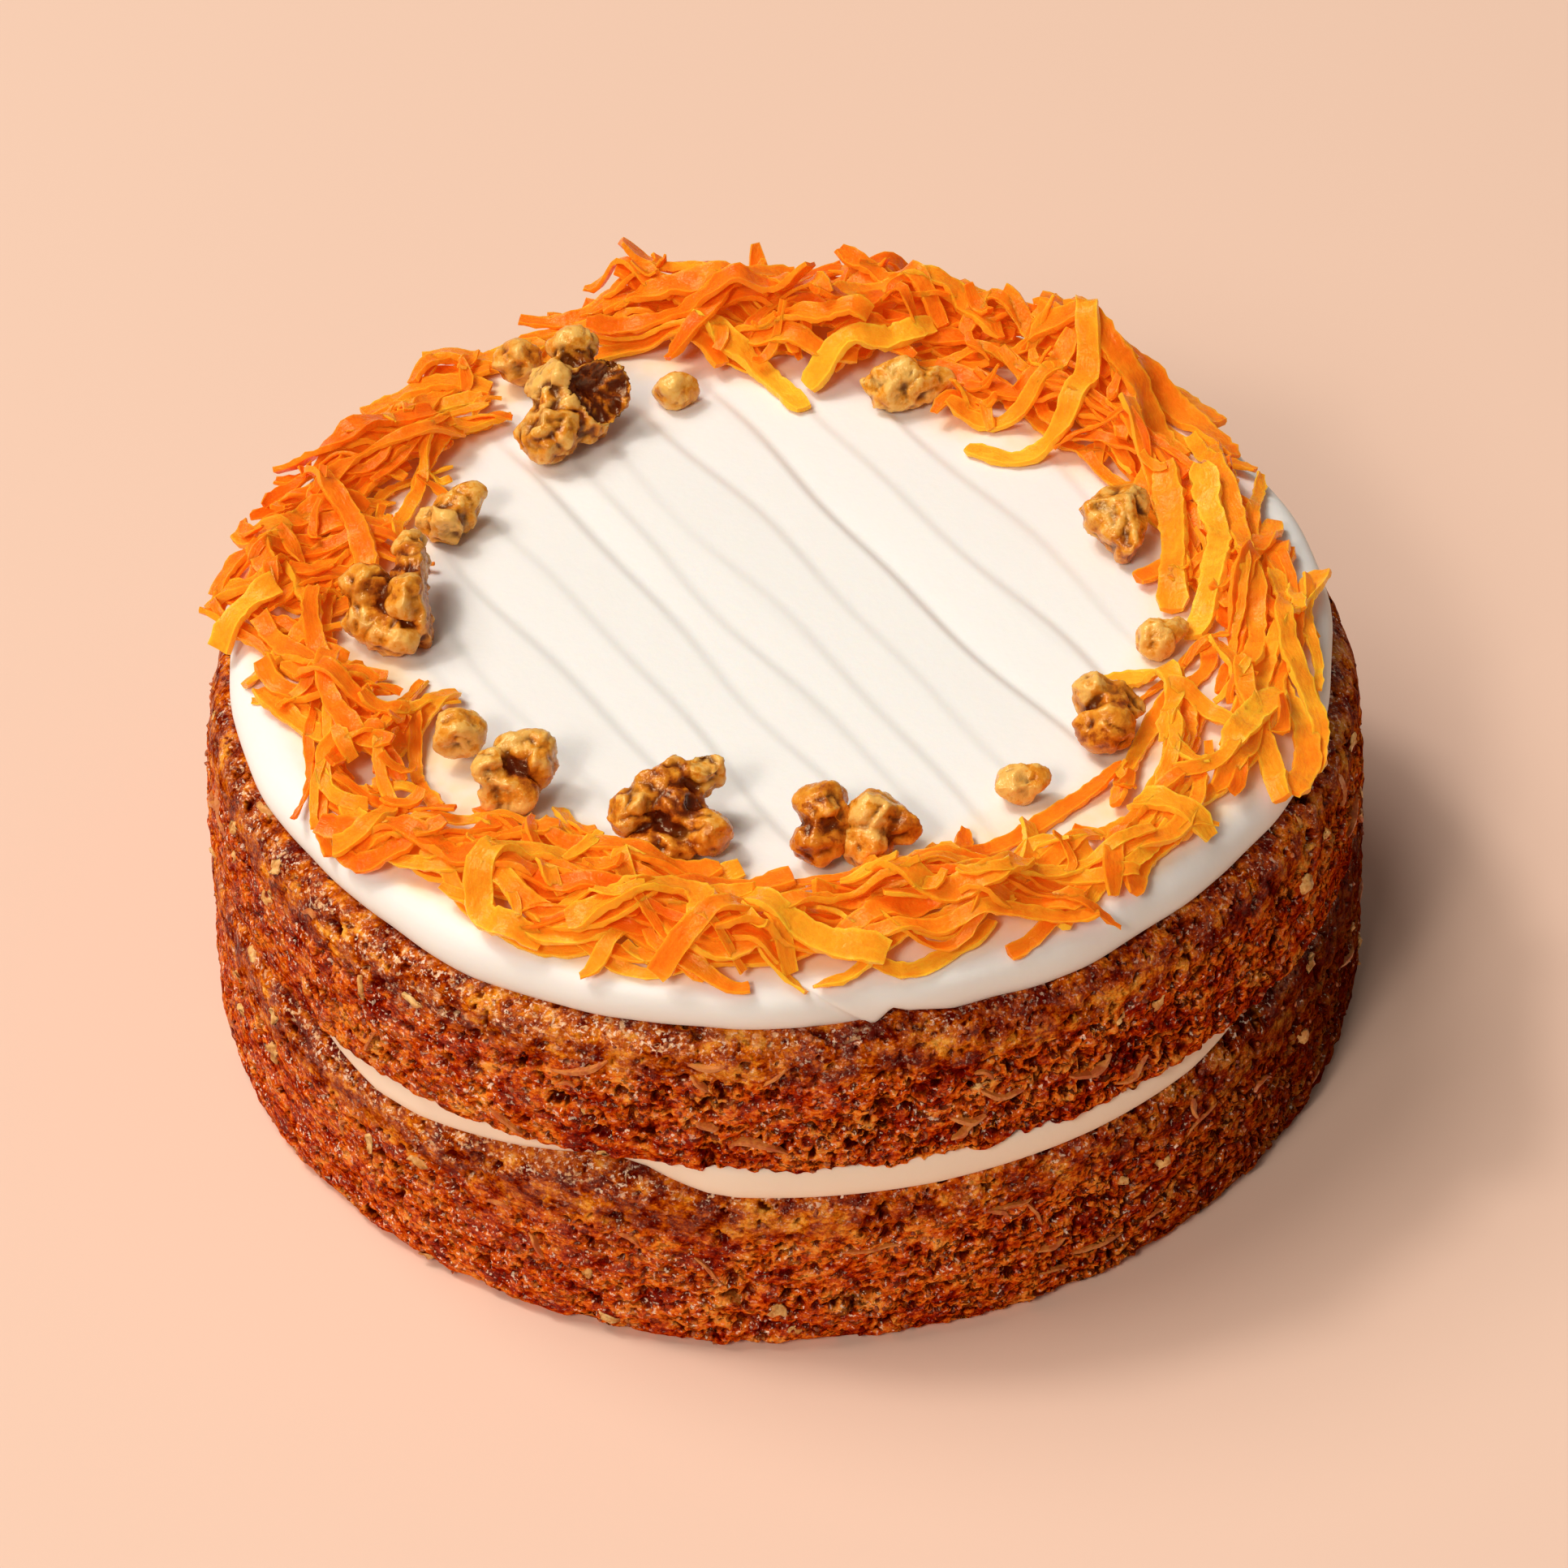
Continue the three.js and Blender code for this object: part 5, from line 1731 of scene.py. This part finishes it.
# %% [markdown]
# ## Crumbs, oats and threads on the sponge
# Loose crumbs cling to the torn wall, pale flakes of oat sit half in it, and threads of grated carrot
# run through it. The first two are scattered by a Geometry Nodes tree over the finished wall, so they
# sit exactly on its relief. A particle system would place them too, but it leaves instances that a
# plain mesh can't hold, while the tree ends in real ones.

# %% The scattering tree
ON_THE_WALL = 0.6                  # the mark that a face's points need for bits to land on it
SMALLEST, LARGEST = (0.5, 0.35, 0.5), (1.5, 1.0, 1.3)


def scatter_tree():
    inputs = {
        "Density": FLOAT, "Size": FLOAT, "Thinness": FLOAT, "Roundness": WHOLE, "Seed": WHOLE,
        "Material": MATERIAL,
    }
    tree, given = growing_tree("scattered_bits", inputs)
    where = read(tree, "wall").above(ON_THE_WALL)
    spread = {
        "Mesh": given["Geometry"], "Selection": where, "Density": given["Density"], "Seed": given["Seed"],
    }
    spots = where.node("GeometryNodeDistributePointsOnFaces", sockets=spread)
    full_turn = {2: 0.0, 3: 6.283, "Seed": 3}
    turn = where.node("FunctionNodeRandomValue", {"data_type": "FLOAT"}, full_turn, 1)
    turned = {
        "Rotation": spots.other("Rotation"),
        "Rotate By": where.node("ShaderNodeCombineXYZ", sockets={2: turn}),
    }
    tilt = where.node("FunctionNodeRotateRotation", {"rotation_space": "LOCAL"}, turned)
    sizes = {0: SMALLEST, 1: LARGEST, "Seed": 5}
    grown = where.node("FunctionNodeRandomValue", {"data_type": "FLOAT_VECTOR"}, sizes)
    thin = where.node("ShaderNodeCombineXYZ", sockets={0: 1.0, 1: 1.0, 2: given["Thinness"]})
    size = grown.vector("MULTIPLY", thin).scaled(given["Size"])
    ball = {"Radius": 0.5, "Subdivisions": given["Roundness"]}
    bit = where.node("GeometryNodeMeshIcoSphere", sockets=ball)
    sockets = {"Points": spots, "Instance": bit, "Rotation": tilt, "Scale": size}
    bits = where.node("GeometryNodeInstanceOnPoints", sockets=sockets)
    bits = bits.node("GeometryNodeRealizeInstances", sockets={"Geometry": bits})
    place = where.node("GeometryNodeInputPosition")
    bits = moved(bits, place.adrift(0.0012).scaled(given["Size"] * 0.9))
    end_tree(shaded_smooth(bits), given["Material"])
    return tree


scattered_bits = scatter_tree()
print("scattering tree:", len(scattered_bits.nodes), "nodes")

# %% [markdown]
# Bits this small need no relief of their own. Two colours in patches with a fine grain are enough, and a
# thin coat on some patches makes them as moist as the crumb around them.

# %% Finishes of crumbs, oats and baked carrot
def bit_finish(name, dark, pale, size, shine):
    material, shader, place = new_finish(name, subsurface_weight=0.15, subsurface_scale=0.001)
    patch = place.noise(size, 3, 0.6)
    grain = place.noise(size * 0.25, 3, 0.6)
    drive(
        shader, place, base_color=(patch * 0.7 + grain * 0.3).between(0.38, 0.62).blend(dark, pale),
        roughness=0.66 - grain * 0.25, coat_weight=patch.between(0.5, 0.6) * shine,
        normal=relief(place, grain, 0.6, 0.0003),
    )
    return material


loose_crumb = bit_finish("loose_crumb", (0.20, 0.025, 0.003, 1), (0.58, 0.14, 0.018, 1), 0.0025, 0.6)
oat_flake = bit_finish("oat_flake", (0.62, 0.24, 0.04, 1), (0.92, 0.52, 0.17, 1), 0.003, 0.4)
baked_carrot = bit_finish("baked_carrot", (0.46, 0.085, 0.008, 1), (0.66, 0.22, 0.03, 1), 0.003, 0.5)
print("bits:", [finish.name for finish in (loose_crumb, oat_flake, baked_carrot)])

# %% [markdown]
# The tree runs on a copy of each finished layer and leaves only the bits. Crumbs are many, small and
# coarse; oats are few, flat and round.

# %% Scattering crumbs and oats
CRUMB_SIZES = {"density": 20000.0, "size": 0.0011, "thinness": 0.7, "roundness": 1, "seed": 4}
OAT_SIZES = {"density": 1500.0, "size": 0.0034, "thinness": 0.3, "roundness": 2, "seed": 9}
BITS = {"crumbs": (loose_crumb, CRUMB_SIZES), "oats": (oat_flake, OAT_SIZES)}

extras = []
for node, layer in sponges.items():
    for kind, (material, sizes) in BITS.items():
        bits = added(node.replace("sponge", kind), layer.data.copy())
        extras.append(grow(bits, scattered_bits, material=material, **sizes))
        print(bits.name, len(bits.data.polygons), "faces")

# %% [markdown]
# The threads are short lines drawn on the wall. A line is laid out on the round wall first, as height
# against azimuth, and then each of its points moves to the nearest place on the torn surface. The
# ribbon tree sweeps them, with a rounder section than the fresh ribbons have.

# %% Carrot threads in the crumb
THREAD_POINTS = 9
WALL_RADIUS = 99


def wall_line(layer, azimuth, heights, run):
    """A line on the wall through the heights, which runs on round the cake by `run` millimetres."""
    path = []
    for angle, height in zip(np.radians(azimuth) + run / 98, heights):
        start = Vector((WALL_RADIUS * math.cos(angle), WALL_RADIUS * math.sin(angle), height))
        _, spot, normal, _ = layer.closest_point_on_mesh(start * MM)
        path.append(np.array(spot - normal * 0.0001) / MM)
    return softened(np.array(path), 2)


def threads_on(layer, name, low, high, count, seed):
    """Threads of baked carrot that lie in a layer's wall between two heights."""
    random = np.random.default_rng(seed)
    along = np.linspace(-0.5, 0.5, THREAD_POINTS)
    slim = np.sin(np.pi * np.linspace(0.12, 0.88, THREAD_POINTS))
    lines = []
    for _ in range(count):
        azimuth = random.uniform(0, 360)
        height = random.uniform(low + 2, high - 4)
        length = random.uniform(4, 12)
        turn = random.normal(0, 0.7) + random.normal(0, 0.8) * along
        run, rise = (np.cumsum(step(turn)) * length / THREAD_POINTS for step in (np.cos, np.sin))
        path = wall_line(layer, azimuth, np.clip(height + rise, low + 1, high - 3), run)
        width = random.uniform(1.0, 2.0) * slim
        lines.append((path, np.zeros(THREAD_POINTS), width, random.uniform(0, 0.5)))
    piece = lines_piece(name, lines)
    return grow(piece, swept_ribbons, flatness=0.45, cupping=0.0, unevenness=0.0004, material=baked_carrot)


extras.append(threads_on(sponges["sponge_bottom"], "threads_bottom", 2, LOWER_CREST - 2, 50, 20))
extras.append(threads_on(sponges["sponge_top"], "threads_top", UPPER_BOTTOM, UPPER_TOP, 40, 22))
print("pieces on the sponge:", [extra.name for extra in extras])

# %% [markdown]
# ## Light and table
# A broad disc high on the left, a little behind the cake, is the window: it lays a soft shadow to the
# right. A second disc in front fills the near side. Inside each sits a compact disc, which hardly
# changes the shadows, but is small enough to be mirrored as a bright point by syrup and nuts. The air
# adds a faint warm light from everywhere. The table is plain peach paper, whose bounced light also warms
# the foot of the cake; its tint wanders a little, as paper's does.

# %% Lights
LAMP_DISTANCE = 4.0                # metres from the middle of the cake
AIM = Vector((0, 0, 0.04))
WINDOW_WHITE, FRONT_WHITE = (1.0, 0.985, 0.96), (1.0, 0.96, 0.90)
AIR_COLOUR, AIR_STRENGTH = (1.0, 0.92, 0.84, 1), 0.15


def disc_lamp(name, azimuth, elevation, size, power, colour):
    """A round area light that faces the cake; size in metres and power in watts."""
    lamp = bpy.data.lights.new(name, "AREA")
    lamp.shape = "DISK"
    lamp.size = size
    lamp.energy = power
    lamp.color = colour
    turn, rise = math.radians(azimuth), math.radians(elevation)
    way = Vector((math.cos(rise) * math.cos(turn), math.cos(rise) * math.sin(turn), math.sin(rise)))
    holder = added(name, lamp)
    holder.rotation_mode = "QUATERNION"
    holder.location = way * LAMP_DISTANCE + AIM
    holder.rotation_quaternion = way.to_track_quat("Z", "Y")


disc_lamp("window", 160, 60, 2.8, 92, WINDOW_WHITE)
disc_lamp("window glint", 160, 60, 0.6, 36, WINDOW_WHITE)
disc_lamp("front fill", 241, 42, 1.6, 52, FRONT_WHITE)
disc_lamp("front glint", 241, 42, 0.5, 22, FRONT_WHITE)

world = bpy.data.worlds.new("studio")
bpy.context.scene.world = world
world.use_nodes = True
world.node_tree.nodes["Background"].inputs["Color"].default_value = AIR_COLOUR
world.node_tree.nodes["Background"].inputs["Strength"].default_value = AIR_STRENGTH
print("lamps:", len(bpy.data.lights))

# %% [markdown]
# The table is one large face.

# %% Table
TABLE_REACH = 6                    # metres from the middle to each side
PEACH, PALER_PEACH = (0.84, 0.56, 0.415, 1), (0.86, 0.58, 0.435, 1)

corners = [(-TABLE_REACH, -TABLE_REACH, 0), (TABLE_REACH, -TABLE_REACH, 0)]
corners += [(-x, -y, 0) for x, y, _ in corners]
table_mesh = bpy.data.meshes.new("table")
table_mesh.from_pydata(corners, [], [(0, 1, 2, 3)])
table = added("table", table_mesh)
paper, paper_shader, paper_place = new_finish("peach_paper", roughness=0.8)
drive(paper_shader, paper_place, base_color=paper_place.noise(0.5, 2).blend(PEACH, PALER_PEACH))
table_mesh.materials.append(paper)
print("table:", 2 * TABLE_REACH, "m wide")

# %% [markdown]
# ## Riding on the body
# Every piece rides on the cake's one body, and the nodes of the construction model that it stands for
# are hidden.

# %% Riding and replacing
def belongs(piece, slot, *nodes):
    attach(piece, "root")
    if nodes:
        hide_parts(*nodes)


for node, layer in sponges.items():
    belongs(layer, "sponge", node)
belongs(filling, "cream", "filling")
belongs(frosting, "cream", "frosting")
belongs(carrot_ring, "carrot", "carrot_ring")
for node, nut in nuts.items():
    belongs(nut, "walnut", node)
for extra in extras:
    belongs(extra, "sponge")
